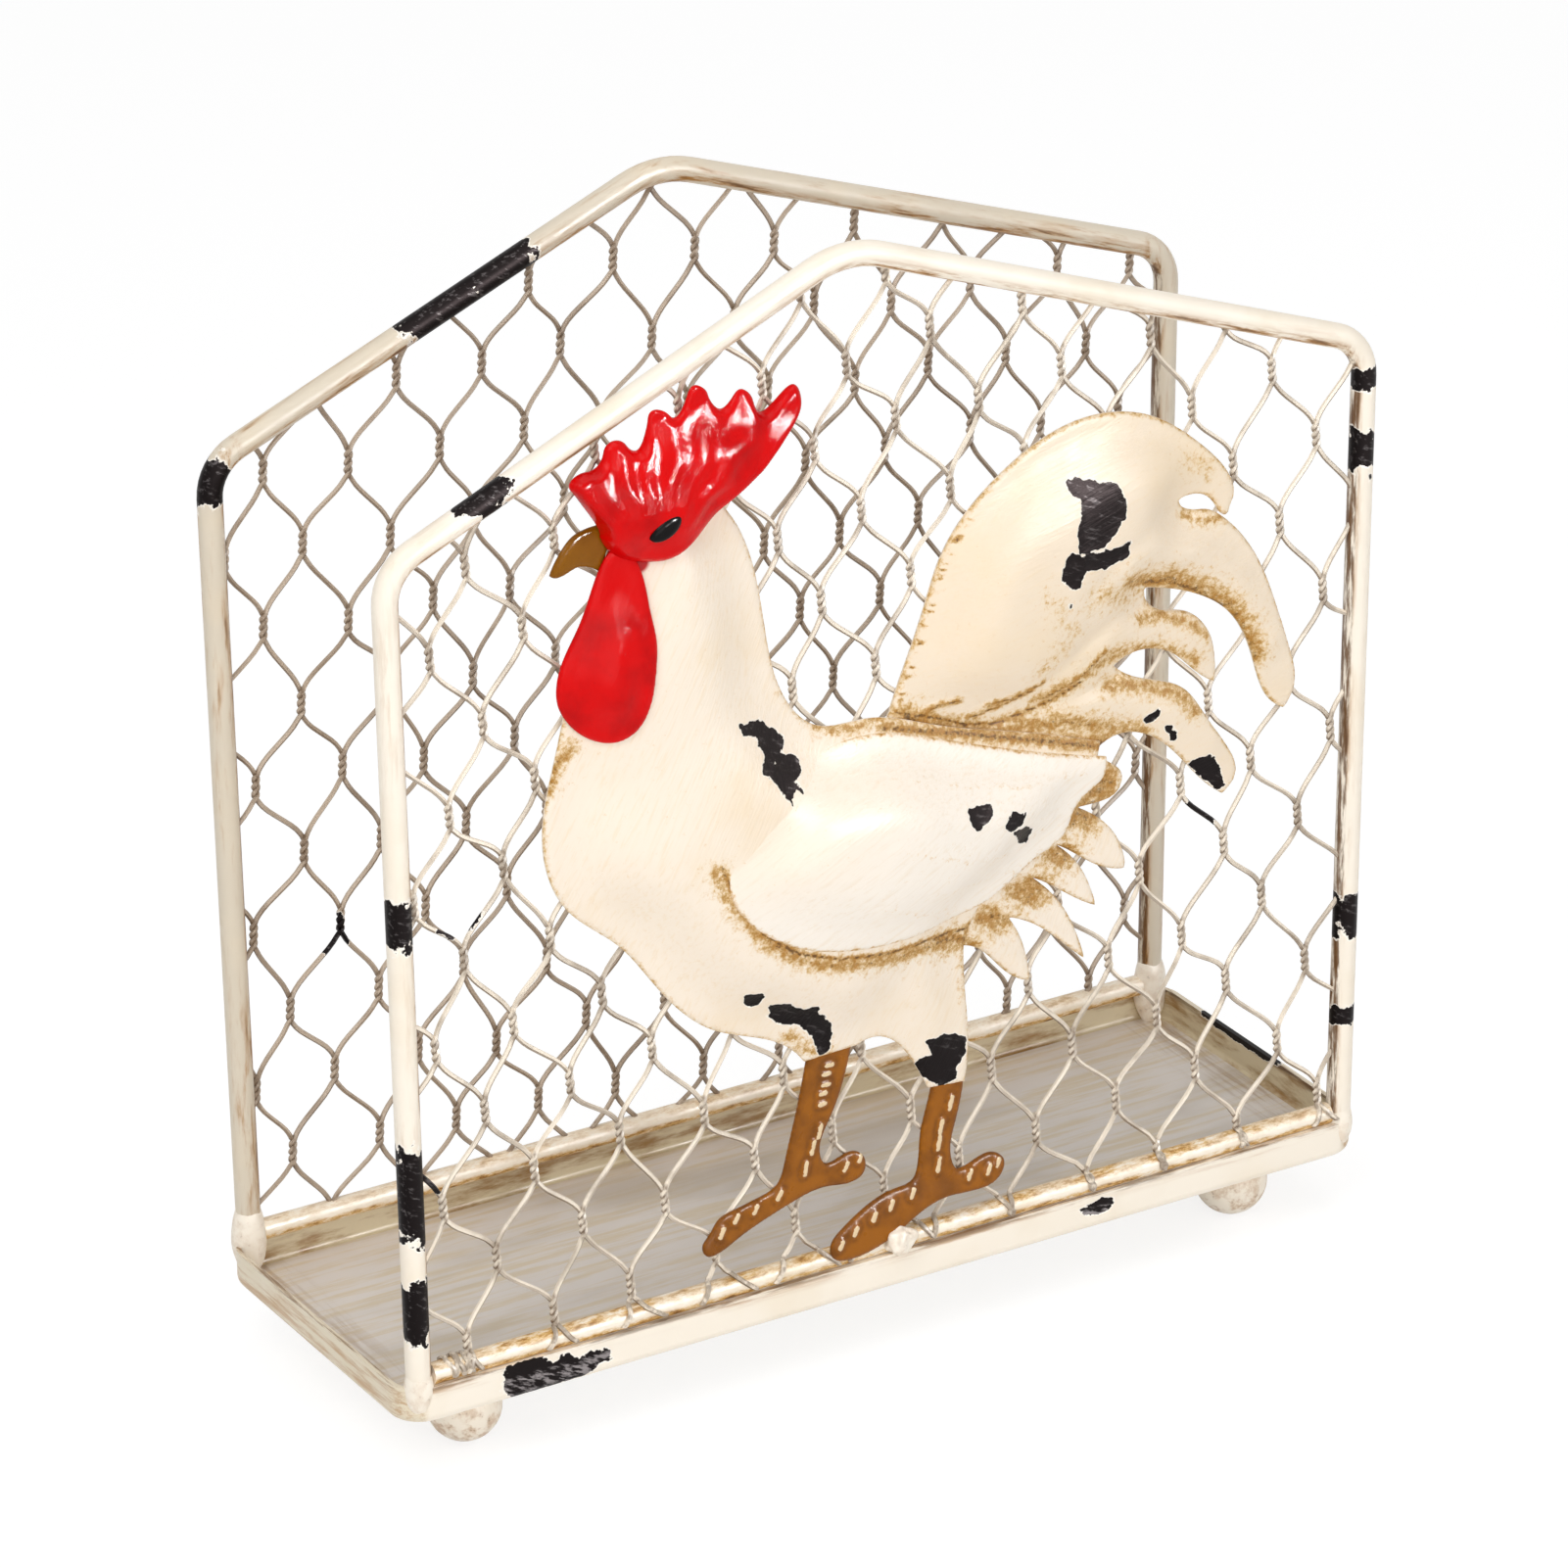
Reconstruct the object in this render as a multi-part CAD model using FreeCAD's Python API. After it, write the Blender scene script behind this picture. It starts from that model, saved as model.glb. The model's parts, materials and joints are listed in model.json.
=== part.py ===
import FreeCAD, Part
import math
import os

# Napkin holder: two gabled wire hoops with hexagonal netting on a shallow tray with ball feet,
# and a stamped sheet-metal rooster on the front netting. Lengths are in millimetres.
# X runs along the length, Y from front to back, Z up.

# Tray
tray_length = 177.0
tray_depth = 59.6
tray_lip_height = 6.2
tray_sheet = 0.8
tray_corner_radius = 5.5
tray_bend_radius = 1.6

# Ball feet, placed in from the ends and the long sides of the tray
foot_diameter = 12.0
foot_flat_diameter = 3.0
foot_inset_x = 17.0
foot_inset_y = 12.8

# Hoops of bent round rod, heights above the lips of the tray and between rod centres
hoop_rod_diameter = 4.0
hoop_end_inset = 1.5
hoop_flare = 1.7
front_shoulder_height = 134.9
front_ridge_height = 169.4
rear_shoulder_height = 132.5
rear_ridge_height = 165.3
ridge_offset = -7.7
shoulder_bend_radius = 8.0
ridge_bend_radius = 16.0

# Rails between the feet of the hoops
rail_diameter = 3.5

# Hexagonal netting, hung slightly askew. Its first twists are measured from the left upright and the
# rail, and its rows are turned about the middle of the rail.
net_wire = 1.0
net_twist_width = 1.6
net_pitch = 14.9
net_row_spacing = 12.8
net_twist_length = 5.0
front_net_start_x = 8.8
front_net_start_height = 9.8
front_net_tilt = 5.0
rear_net_start_x = 7.5
rear_net_start_height = 7.6
rear_net_tilt = -3.5
net_sway = 0.6
net_sway_wave_x = 67.0
net_sway_wave_z = 41.0

# Welds and the play left at a seat
seat_gap = 0.1
corner_weld_width = 1.0
corner_weld_height = 4.2
toe_weld_diameter = 5.2

# Rooster sheets, their flat rims and the run from the rim up to the full relief
rooster_sheet = 0.8
rooster_rim = 1.2
body_run = 12.0
tail_run = 10.0
feather_run = 5.0
eye_sheet = 0.6
toe_bend_height = 12.0

# Crowns of the stamped pieces above their rims
breast_crown = 6.0
neck_crown = 4.2
rump_crown = 3.2
thigh_crown = 3.6
tail_crown = 3.8
sickle_crown = 1.4
feather_crown = 1.2
wing_crown = 3.2
comb_crown = 1.6
wattle_crown = 3.4
beak_crown = 1.0

# Spacing of the control points of a relief surface, and how many it has beyond an outline
relief_step = 3.0
relief_margin_count = 4

# Place and size of the rooster, in shares of the tray's length and the front ridge's height
rooster_left_share = 0.150
rooster_length_share = 0.768
rooster_height_share = 0.903

# Outlines of the rooster, in shares of its length and height from its lower left corner.
# Each outline is a ring of smooth spans, and a span starts where the one before it ends.
body_shares = (
    ((0.228, 0.869), (0.263, 0.814), (0.284, 0.723), (0.309, 0.644), (0.353, 0.605), (0.412, 0.600),
     (0.507, 0.573), (0.618, 0.542), (0.728, 0.508)),
    ((0.728, 0.508), (0.720, 0.484), (0.654, 0.425), (0.580, 0.376), (0.544, 0.324)),
    ((0.544, 0.324), (0.546, 0.265), (0.550, 0.208), (0.545, 0.166)),
    ((0.545, 0.166), (0.496, 0.170)),
    ((0.496, 0.170), (0.472, 0.210), (0.436, 0.242), (0.399, 0.241)),
    ((0.399, 0.241), (0.330, 0.239)),
    ((0.330, 0.239), (0.288, 0.272), (0.215, 0.300), (0.138, 0.367), (0.088, 0.425), (0.029, 0.473),
     (0.003, 0.520), (0.000, 0.584), (0.015, 0.638), (0.040, 0.723), (0.066, 0.788), (0.085, 0.841),
     (0.110, 0.886), (0.162, 0.909), (0.202, 0.896), (0.228, 0.869)),
)
tail_shares = (
    ((0.441, 0.579), (0.465, 0.635), (0.490, 0.690), (0.521, 0.759), (0.590, 0.822), (0.698, 0.863),
     (0.790, 0.852), (0.857, 0.812), (0.886, 0.787), (0.903, 0.767), (0.911, 0.746), (0.906, 0.732)),
    ((0.906, 0.732), (0.897, 0.7225), (0.892, 0.7262), (0.886, 0.735), (0.878, 0.744), (0.866, 0.751),
     (0.855, 0.7535), (0.843, 0.753), (0.835, 0.7505)),
    ((0.835, 0.7505), (0.845, 0.739), (0.858, 0.735), (0.872, 0.733), (0.883, 0.729), (0.893, 0.7228),
     (0.903, 0.715), (0.916, 0.703), (0.941, 0.672), (0.988, 0.566), (0.999, 0.510), (0.985, 0.490)),
    ((0.985, 0.490), (0.968, 0.501), (0.938, 0.563), (0.908, 0.612), (0.853, 0.646), (0.789, 0.664)),
    ((0.789, 0.664), (0.805, 0.638), (0.849, 0.625), (0.884, 0.582), (0.887, 0.540)),
    ((0.887, 0.540), (0.860, 0.558), (0.828, 0.584), (0.790, 0.596), (0.749, 0.586)),
    ((0.749, 0.586), (0.779, 0.567), (0.842, 0.543), (0.885, 0.491), (0.918, 0.426), (0.901, 0.411)),
    ((0.901, 0.411), (0.861, 0.444), (0.824, 0.481), (0.779, 0.506), (0.713, 0.488)),
    ((0.713, 0.488), (0.441, 0.579)),
)
wing_feather_shares = (
    ((0.730, 0.489), (0.745, 0.479), (0.762, 0.462), (0.757, 0.446), (0.730, 0.438), (0.701, 0.438)),
    ((0.701, 0.438), (0.732, 0.419), (0.761, 0.383), (0.765, 0.357)),
    ((0.765, 0.357), (0.732, 0.366), (0.691, 0.392), (0.672, 0.403)),
    ((0.672, 0.403), (0.706, 0.370), (0.725, 0.324)),
    ((0.725, 0.324), (0.693, 0.341), (0.659, 0.363), (0.640, 0.373)),
    ((0.640, 0.373), (0.680, 0.334), (0.710, 0.267)),
    ((0.710, 0.267), (0.674, 0.297), (0.640, 0.322), (0.607, 0.336)),
    ((0.607, 0.336), (0.625, 0.308), (0.635, 0.259)),
    ((0.635, 0.259), (0.599, 0.280), (0.566, 0.310), (0.537, 0.318)),
    ((0.537, 0.318), (0.522, 0.344), (0.559, 0.415), (0.640, 0.470), (0.700, 0.481), (0.730, 0.489)),
)
wing_shares = (
    ((0.733, 0.492), (0.680, 0.506), (0.592, 0.532), (0.500, 0.563), (0.431, 0.583), (0.373, 0.584),
     (0.321, 0.572), (0.272, 0.549), (0.233, 0.522), (0.210, 0.494), (0.210, 0.464), (0.225, 0.440),
     (0.251, 0.416), (0.280, 0.398), (0.323, 0.381), (0.377, 0.369), (0.440, 0.362), (0.507, 0.360),
     (0.567, 0.365), (0.600, 0.379), (0.642, 0.401), (0.679, 0.421), (0.693, 0.447), (0.728, 0.469),
     (0.733, 0.492)),
)
comb_shares = (
    ((0.074, 0.865), (0.052, 0.903), (0.040, 0.930), (0.073, 0.939), (0.093, 0.961), (0.121, 0.946),
     (0.147, 0.983), (0.168, 0.971), (0.196, 0.999), (0.229, 0.969), (0.255, 0.984), (0.276, 0.957),
     (0.322, 0.976), (0.328, 0.963), (0.310, 0.934), (0.268, 0.900), (0.232, 0.878), (0.212, 0.866),
     (0.195, 0.853), (0.172, 0.841), (0.147, 0.833), (0.118, 0.833), (0.099, 0.838), (0.085, 0.848),
     (0.074, 0.865)),
)
wattle_shares = (
    ((0.101, 0.833), (0.080, 0.827), (0.065, 0.811), (0.047, 0.780), (0.027, 0.749), (0.017, 0.725),
     (0.017, 0.700), (0.030, 0.677), (0.055, 0.657), (0.078, 0.652), (0.100, 0.662), (0.116, 0.685),
     (0.125, 0.722), (0.128, 0.752), (0.124, 0.786), (0.116, 0.820), (0.101, 0.833)),
)
beak_shares = (
    ((0.098, 0.872), (0.078, 0.875), (0.058, 0.874), (0.042, 0.870), (0.028, 0.860), (0.018, 0.847),
     (0.013, 0.835)),
    ((0.013, 0.835), (0.019, 0.832), (0.043, 0.838), (0.058, 0.836), (0.077, 0.825)),
    ((0.077, 0.825), (0.083, 0.842), (0.098, 0.872)),
)
left_leg_shares = (
    ((0.341, 0.259), (0.399, 0.265)),
    ((0.399, 0.265), (0.393, 0.227), (0.369, 0.167), (0.354, 0.125), (0.360, 0.114), (0.399, 0.118),
     (0.414, 0.106), (0.411, 0.090), (0.396, 0.084), (0.361, 0.087), (0.315, 0.080), (0.272, 0.068),
     (0.242, 0.058), (0.213, 0.048), (0.199, 0.049), (0.196, 0.058), (0.206, 0.069), (0.219, 0.083),
     (0.240, 0.089), (0.272, 0.095), (0.296, 0.103), (0.308, 0.127), (0.322, 0.175), (0.333, 0.217),
     (0.341, 0.259)),
)
right_leg_shares = (
    ((0.507, 0.193), (0.546, 0.193)),
    ((0.546, 0.193), (0.545, 0.150), (0.537, 0.121), (0.530, 0.085), (0.537, 0.066), (0.586, 0.072),
     (0.602, 0.060), (0.594, 0.045), (0.560, 0.037), (0.516, 0.038), (0.482, 0.029), (0.448, 0.013),
     (0.412, 0.002), (0.385, 0.000), (0.366, 0.006), (0.363, 0.020), (0.380, 0.036), (0.415, 0.053),
     (0.453, 0.062), (0.479, 0.067), (0.487, 0.085), (0.490, 0.115), (0.500, 0.150), (0.507, 0.193)),
)
eye_centre_share = (0.147, 0.867)
eye_radius_shares = (0.0210, 0.0100)
eye_tilt = 31.0
toe_weld_share = (0.456, 0.008)

# Domes pressed into the pieces: centre and radii in the same shares
breast_dome_share = (0.28, 0.47, 0.32, 0.25)
neck_dome_share = (0.15, 0.74, 0.16, 0.22)
rump_dome_share = (0.56, 0.47, 0.28, 0.22)
left_thigh_dome_share = (0.35, 0.28, 0.12, 0.13)
right_thigh_dome_share = (0.515, 0.24, 0.095, 0.145)
tail_dome_shares = ((0.60, 0.71, 0.15, 0.15), (0.75, 0.74, 0.16, 0.12))
wing_dome_share = (0.46, 0.46, 0.28, 0.15)
beak_dome_share = (0.040, 0.852, 0.045, 0.030)
weld_belly_share = 0.72

# Values that follow from the ones above
rod_radius = hoop_rod_diameter / 2
rail_radius = rail_diameter / 2
hoop_y = tray_depth / 2 - rod_radius
hoop_base_x = tray_length / 2 - hoop_end_inset - rod_radius
foot_drop = math.sqrt((foot_diameter / 2) ** 2 - (foot_flat_diameter / 2) ** 2)
tray_bottom = 2 * foot_drop
lip_top = tray_bottom + tray_lip_height
rail_to_lip = rod_radius - tray_sheet
rail_rise = math.sqrt(max((rail_radius + seat_gap) ** 2 - rail_to_lip ** 2, 0))
rail_z = lip_top + rail_rise
net_front_y = -hoop_y - net_wire / 2
rooster_left = (rooster_left_share - 1 / 2) * tray_length
rooster_length = rooster_length_share * tray_length
rooster_height = rooster_height_share * front_ridge_height
lower_level = seat_gap
body_level = lower_level + rooster_sheet + seat_gap
upper_level = body_level + rooster_sheet + seat_gap
toe_lift = rail_radius - net_wire / 2


def make_tray():
    """Pressed pan with rounded plan corners, upturned lips and a rounded bottom edge."""
    outer = Part.makeBox(tray_length, tray_depth, tray_lip_height,
                         FreeCAD.Vector(-tray_length / 2, -tray_depth / 2, tray_bottom))
    uprights = [e for e in outer.Edges if abs(e.tangentAt(e.FirstParameter).z) > 1 / 2]
    outer = outer.makeFillet(tray_corner_radius, uprights)
    lower = [e for e in outer.Edges if e.BoundBox.ZMax < tray_bottom + tray_sheet / 2]
    outer = outer.makeFillet(tray_bend_radius, lower)
    top = [f for f in outer.Faces if f.BoundBox.ZMin > lip_top - tray_sheet / 2]
    return outer.makeThickness(top, -tray_sheet, seat_gap / 100)


def make_foot(side_x, side_y):
    """Ball with a small flat below to stand on and one above under the tray."""
    radius = foot_diameter / 2
    x = side_x * (tray_length / 2 - foot_inset_x)
    y = side_y * (tray_depth / 2 - foot_inset_y)
    ball = Part.makeSphere(radius, FreeCAD.Vector(x, y, foot_drop))
    band = Part.makeCylinder(radius, tray_bottom, FreeCAD.Vector(x, y, 0))
    return ball.common(band)


def bent_edges(points, radii):
    """Straight edges through the points with a round bend at each inner point."""
    edges = []
    start = points[0]
    for before, corner, after, radius in zip(points, points[1:], points[2:], radii):
        inward = (before - corner).normalize()
        onward = (after - corner).normalize()
        half_angle = inward.getAngle(onward) / 2
        bisector = (inward + onward).normalize()
        first = corner + inward * (radius / math.tan(half_angle))
        last = corner + onward * (radius / math.tan(half_angle))
        middle = corner + bisector * (radius / math.sin(half_angle) - radius)
        edges.append(Part.makeLine(start, first))
        edges.append(Part.Arc(first, middle, last).toShape())
        start = last
    edges.append(Part.makeLine(start, points[-1]))
    return edges


def hoop_edges(y, base_z, shoulder_height, ridge_height):
    """Centre line of a hoop from one foot over the shoulders and the ridge to the other foot."""
    shoulder_x = hoop_base_x + hoop_flare
    points = [
        FreeCAD.Vector(-hoop_base_x, y, base_z),
        FreeCAD.Vector(-shoulder_x, y, lip_top + shoulder_height),
        FreeCAD.Vector(ridge_offset, y, lip_top + ridge_height),
        FreeCAD.Vector(shoulder_x, y, lip_top + shoulder_height),
        FreeCAD.Vector(hoop_base_x, y, base_z),
    ]
    return bent_edges(points, (shoulder_bend_radius, ridge_bend_radius, shoulder_bend_radius))


def make_hoop(y, shoulder_height, ridge_height):
    """Round rod swept along the centre line, its feet on the lips of the tray."""
    path = Part.Wire(hoop_edges(y, lip_top + seat_gap, shoulder_height, ridge_height))
    first = path.OrderedEdges[0]
    circle = Part.makeCircle(rod_radius, first.valueAt(first.FirstParameter),
                             first.tangentAt(first.FirstParameter))
    return path.makePipeShell([Part.Wire(circle)], True, False)


def make_rail(y):
    """Straight rod on the inner edge of a long lip, between the two uprights."""
    half = hoop_base_x - rod_radius - seat_gap
    return Part.makeCylinder(rail_radius, 2 * half, FreeCAD.Vector(-half, y, rail_z),
                             FreeCAD.Vector(1, 0, 0))


def make_corner_weld(side_x, y, hoop, rail):
    """Rounded bead at the foot of an upright, parted from the rod and the rail."""
    x = side_x * hoop_base_x
    rim = FreeCAD.Vector(x + rod_radius + corner_weld_width, y, lip_top)
    crest = FreeCAD.Vector(x + rod_radius, y, lip_top + corner_weld_height)
    belly = FreeCAD.Vector(x + rod_radius + weld_belly_share * corner_weld_width, y,
                           lip_top + weld_belly_share * corner_weld_height)
    axis_low = FreeCAD.Vector(x, y, lip_top)
    axis_high = FreeCAD.Vector(x, y, lip_top + corner_weld_height)
    section = Part.Wire([
        Part.makeLine(axis_low, rim),
        Part.Arc(rim, belly, crest).toShape(),
        Part.makeLine(crest, axis_high),
        Part.makeLine(axis_high, axis_low),
    ])
    bead = Part.Face(section).revolve(axis_low, FreeCAD.Vector(0, 0, 1), 360)
    rest = bead.cut([hoop, rail])
    return max(rest.Solids, key=lambda solid: solid.Volume)


def twist_end(lattice, column, row, up):
    """Upper or lower end of a twist of the netting, with the sway of hand-stretched wire."""
    start_x, start_height, tilt = lattice
    x = start_x - hoop_base_x + net_pitch * (column + (row % 2) / 2)
    z = start_height + net_row_spacing * row + up * net_twist_length / 2
    sway_x = math.sin(math.tau * (x / net_sway_wave_x + z / net_sway_wave_z))
    sway_z = math.sin(math.tau * (x / net_sway_wave_z - z / net_sway_wave_x))
    across = x + net_sway * sway_x
    upward = z + net_sway * sway_z
    turn = math.radians(tilt)
    return (across * math.cos(turn) - upward * math.sin(turn),
            rail_z + across * math.sin(turn) + upward * math.cos(turn))


def inset_ring(ring, insets):
    """Corners of a ring whose sides have each moved inward by their own amount."""
    sides = []
    for start, end, inset in zip(ring, ring[1:] + ring[:1], insets):
        along_x = end[0] - start[0]
        along_z = end[1] - start[1]
        length = math.hypot(along_x, along_z)
        sides.append((start[0] - inset * along_z / length, start[1] + inset * along_x / length,
                      along_x, along_z))
    corners = []
    for (ax, az, adx, adz), (bx, bz, bdx, bdz) in zip(sides[-1:] + sides[:-1], sides):
        reach = ((bx - ax) * bdz - (bz - az) * bdx) / (adx * bdz - adz * bdx)
        corners.append((ax + reach * adx, az + reach * adz))
    return corners


def net_hole(lattice, column, row, y):
    """One six-sided opening: twists left and right, slanted wires above and below."""
    between = column + row % 2
    ring = [
        twist_end(lattice, column, row, 1),
        twist_end(lattice, column, row, -1),
        twist_end(lattice, between, row - 1, 1),
        twist_end(lattice, column + 1, row, -1),
        twist_end(lattice, column + 1, row, 1),
        twist_end(lattice, between, row + 1, -1),
    ]
    twist = net_twist_width / 2
    wire = net_wire / 2
    corners = inset_ring(ring, (twist, wire, wire, twist, wire, wire))
    points = [FreeCAD.Vector(x, y, z) for x, z in corners]
    return Part.Face(Part.makePolygon(points + points[:1]))


def make_netting(y, shoulder_height, ridge_height, lattice):
    """Netting as one sheet with its openings, filling the hoop down to the rail."""
    back_y = y + net_wire / 2
    foot_z = rail_z + rail_radius - rod_radius
    edges = hoop_edges(back_y, foot_z, shoulder_height, ridge_height)
    edges.append(Part.makeLine(FreeCAD.Vector(hoop_base_x, back_y, foot_z),
                               FreeCAD.Vector(-hoop_base_x, back_y, foot_z)))
    field = Part.Face(Part.Wire(edges)).makeOffset2D(-rod_radius - seat_gap).Faces[0]
    columns = math.ceil(2 * hoop_base_x / net_pitch) + 1
    rows = math.ceil(ridge_height / net_row_spacing) + 1
    holes = [net_hole(lattice, column, row, back_y) for row in range(-2, rows) for column in range(-2, columns)]
    net = max(field.cut(holes).Faces, key=lambda face: face.Area)
    return net.extrude(FreeCAD.Vector(0, -net_wire, 0))


def place(share):
    """Position along X and Z of a point given in shares of the rooster."""
    return rooster_left + share[0] * rooster_length, rail_z + share[1] * rooster_height


def outline(spans):
    """Closed wire of the smooth and straight spans, in the plane of the netting's front."""
    edges = []
    for span in spans:
        points = [FreeCAD.Vector(x, net_front_y, z) for x, z in map(place, span)]
        curve = Part.BSplineCurve()
        curve.interpolate(points)
        edges.append(curve.toShape())
    return Part.Wire(edges)


def ring_of(wire):
    """Points along an outline, close enough for measuring distances from it."""
    points = []
    for edge in wire.OrderedEdges:
        count = max(math.ceil(edge.Length / rooster_rim), 2)
        points.extend((p.x, p.z) for p in edge.discretize(Number=count)[:-1])
    return points


def depth_inside(ring, x, z):
    """Distance of a point from the edge of a ring, positive inside and negative outside."""
    nearest = rooster_length
    inside = False
    for (ax, az), (bx, bz) in zip(ring, ring[1:] + ring[:1]):
        dx = bx - ax
        dz = bz - az
        along = min(max(((x - ax) * dx + (z - az) * dz) / (dx * dx + dz * dz), 0), 1)
        nearest = min(nearest, math.hypot(x - ax - along * dx, z - az - along * dz))
        if (az > z) != (bz > z) and x < ax + (z - az) * dx / dz:
            inside = not inside
    return nearest if inside else -nearest


def ease(distance, run):
    """Smooth rise from zero at the inner edge of a flat rim to one after the run."""
    part = min(max((distance - rooster_rim) / run, 0), 1)
    return (1 - math.cos(math.pi * part)) / 2


def dome(share, x, z):
    """Height of a pressed dome of crown one at a point."""
    centre_x, centre_z = place(share[:2])
    across = (x - centre_x) / (share[2] * rooster_length)
    upward = (z - centre_z) / (share[3] * rooster_height)
    spread = across * across + upward * upward
    return (1 - spread * spread) ** 2 if spread < 1 else 0


def blend(heights):
    """Heights of several domes run together without a crease."""
    return sum(height ** 3 for height in heights) ** (1 / 3)


body_wire = outline(body_shares)
tail_wire = outline(tail_shares)
wing_wire = outline(wing_shares)
wing_feather_wire = outline(wing_feather_shares)
comb_wire = outline(comb_shares)
wattle_wire = outline(wattle_shares)
beak_wire = outline(beak_shares)
body_ring = ring_of(body_wire)
tail_ring = ring_of(tail_wire)
wing_ring = ring_of(wing_wire)
wing_feather_ring = ring_of(wing_feather_wire)
comb_ring = ring_of(comb_wire)
wattle_ring = ring_of(wattle_wire)


def body_rise(x, z):
    """Relief of the body: breast, neck, rump and thighs."""
    swell = blend((
        breast_crown * dome(breast_dome_share, x, z),
        neck_crown * dome(neck_dome_share, x, z),
        rump_crown * dome(rump_dome_share, x, z),
        thigh_crown * dome(left_thigh_dome_share, x, z),
        thigh_crown * dome(right_thigh_dome_share, x, z),
    ))
    return swell * ease(depth_inside(body_ring, x, z), body_run)


def clear_of_body(x, z):
    """Zero under the body, rising to one away from it."""
    return ease(-depth_inside(body_ring, x, z), tail_run)


def tail_rise(x, z):
    """Relief of the tail: rounded sickle feathers on a swelling that stays clear of the body."""
    inside = depth_inside(tail_ring, x, z)
    swell = tail_crown * blend([dome(share, x, z) for share in tail_dome_shares])
    rounding = sickle_crown * ease(inside, feather_run)
    return (swell * ease(inside, tail_run) + rounding) * clear_of_body(x, z)


def wing_feather_rise(x, z):
    """Relief of the feather fan below the wing."""
    return feather_crown * ease(depth_inside(wing_feather_ring, x, z), feather_run) * clear_of_body(x, z)


def wing_rise(x, z):
    """Relief of the wing above the body it lies on."""
    return wing_crown * dome(wing_dome_share, x, z) * ease(depth_inside(wing_ring, x, z), tail_run)


def comb_rise(x, z):
    """Relief of the comb and face above the head."""
    return comb_crown * ease(depth_inside(comb_ring, x, z), feather_run)


def wattle_rise(x, z):
    """Relief of the wattle above the neck."""
    return wattle_crown * ease(depth_inside(wattle_ring, x, z), feather_run)


def beak_rise(x, z):
    """Relief of the beak, flat where the face covers it."""
    return beak_crown * dome(beak_dome_share, x, z) * ease(-depth_inside(comb_ring, x, z), feather_run)


def leg_rise(x, z):
    """Forward bend of a leg that brings the toes over the front of the rail."""
    bend_top = rail_z + rail_radius + toe_bend_height
    return toe_lift * ease(bend_top - z, toe_bend_height - 2 * rooster_rim)


def eye_rise(x, z):
    """Front of the face, on which the eye lies."""
    return body_rise(x, z) + comb_rise(x, z) + rooster_sheet + seat_gap


def over_body(rise):
    """Relief of a piece that lies on the front of the body."""
    return lambda x, z: body_rise(x, z) + rise(x, z)


def relief_surface(box, level, rise):
    """Smooth surface over a box in the XZ plane, drawn by a square grid of control points."""
    first_x = math.floor(box.XMin / relief_step) - relief_margin_count
    last_x = math.ceil(box.XMax / relief_step) + relief_margin_count
    first_z = math.floor(box.ZMin / relief_step) - relief_margin_count
    last_z = math.ceil(box.ZMax / relief_step) + relief_margin_count
    poles = []
    for column in range(first_x, last_x + 1):
        x = column * relief_step
        levels = [(row * relief_step, rise(x, row * relief_step)) for row in range(first_z, last_z + 1)]
        poles.append([FreeCAD.Vector(x, net_front_y - level - height, z) for z, height in levels])
    spans_x = last_x - first_x - 2
    spans_z = last_z - first_z - 2
    surface = Part.BSplineSurface()
    surface.buildFromPolesMultsKnots(poles, [4] + [1] * (spans_x - 1) + [4], [4] + [1] * (spans_z - 1) + [4],
                                     list(range(spans_x + 1)), list(range(spans_z + 1)), False, False, 3, 3)
    return surface


def stamped_sheet(wire, level, rise, sheet):
    """Sheet cut to an outline, its back at a level in front of the netting plus the relief."""
    slab = relief_surface(wire.BoundBox, level, rise).toShape().extrude(FreeCAD.Vector(0, -sheet, 0))
    blank = Part.Face(wire).extrude(FreeCAD.Vector(0, -tray_depth, 0))
    return max(blank.common(slab).Solids, key=lambda solid: solid.Volume)


def make_eye():
    """Small tilted oval on the face."""
    x, z = place(eye_centre_share)
    centre = FreeCAD.Vector(x, net_front_y, z)
    oval = Part.Ellipse(FreeCAD.Vector(0, 0, 0), eye_radius_shares[0] * rooster_length,
                        eye_radius_shares[1] * rooster_length).toShape()
    oval.rotate(FreeCAD.Vector(0, 0, 0), FreeCAD.Vector(0, 0, 1), eye_tilt)
    oval.rotate(FreeCAD.Vector(0, 0, 0), FreeCAD.Vector(1, 0, 0), 90)
    oval.translate(centre)
    return stamped_sheet(Part.Wire(oval), upper_level, eye_rise, eye_sheet)


def make_toe_weld(rail, tray):
    """Round bead in front of the netting, between the right foot and the front rail."""
    x, z = place(toe_weld_share)
    radius = toe_weld_diameter / 2
    bead = Part.makeSphere(radius, FreeCAD.Vector(x, net_front_y - toe_lift, z))
    front = Part.makeBox(toe_weld_diameter, toe_weld_diameter, toe_weld_diameter,
                         FreeCAD.Vector(x - radius, net_front_y - seat_gap - toe_weld_diameter, z - radius))
    foot = Part.Face(outline(right_leg_shares)).extrude(FreeCAD.Vector(0, -toe_weld_diameter, 0))
    rest = bead.common(front).cut([rail, foot, tray])
    return max(rest.Solids, key=lambda solid: solid.Volume)


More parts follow.
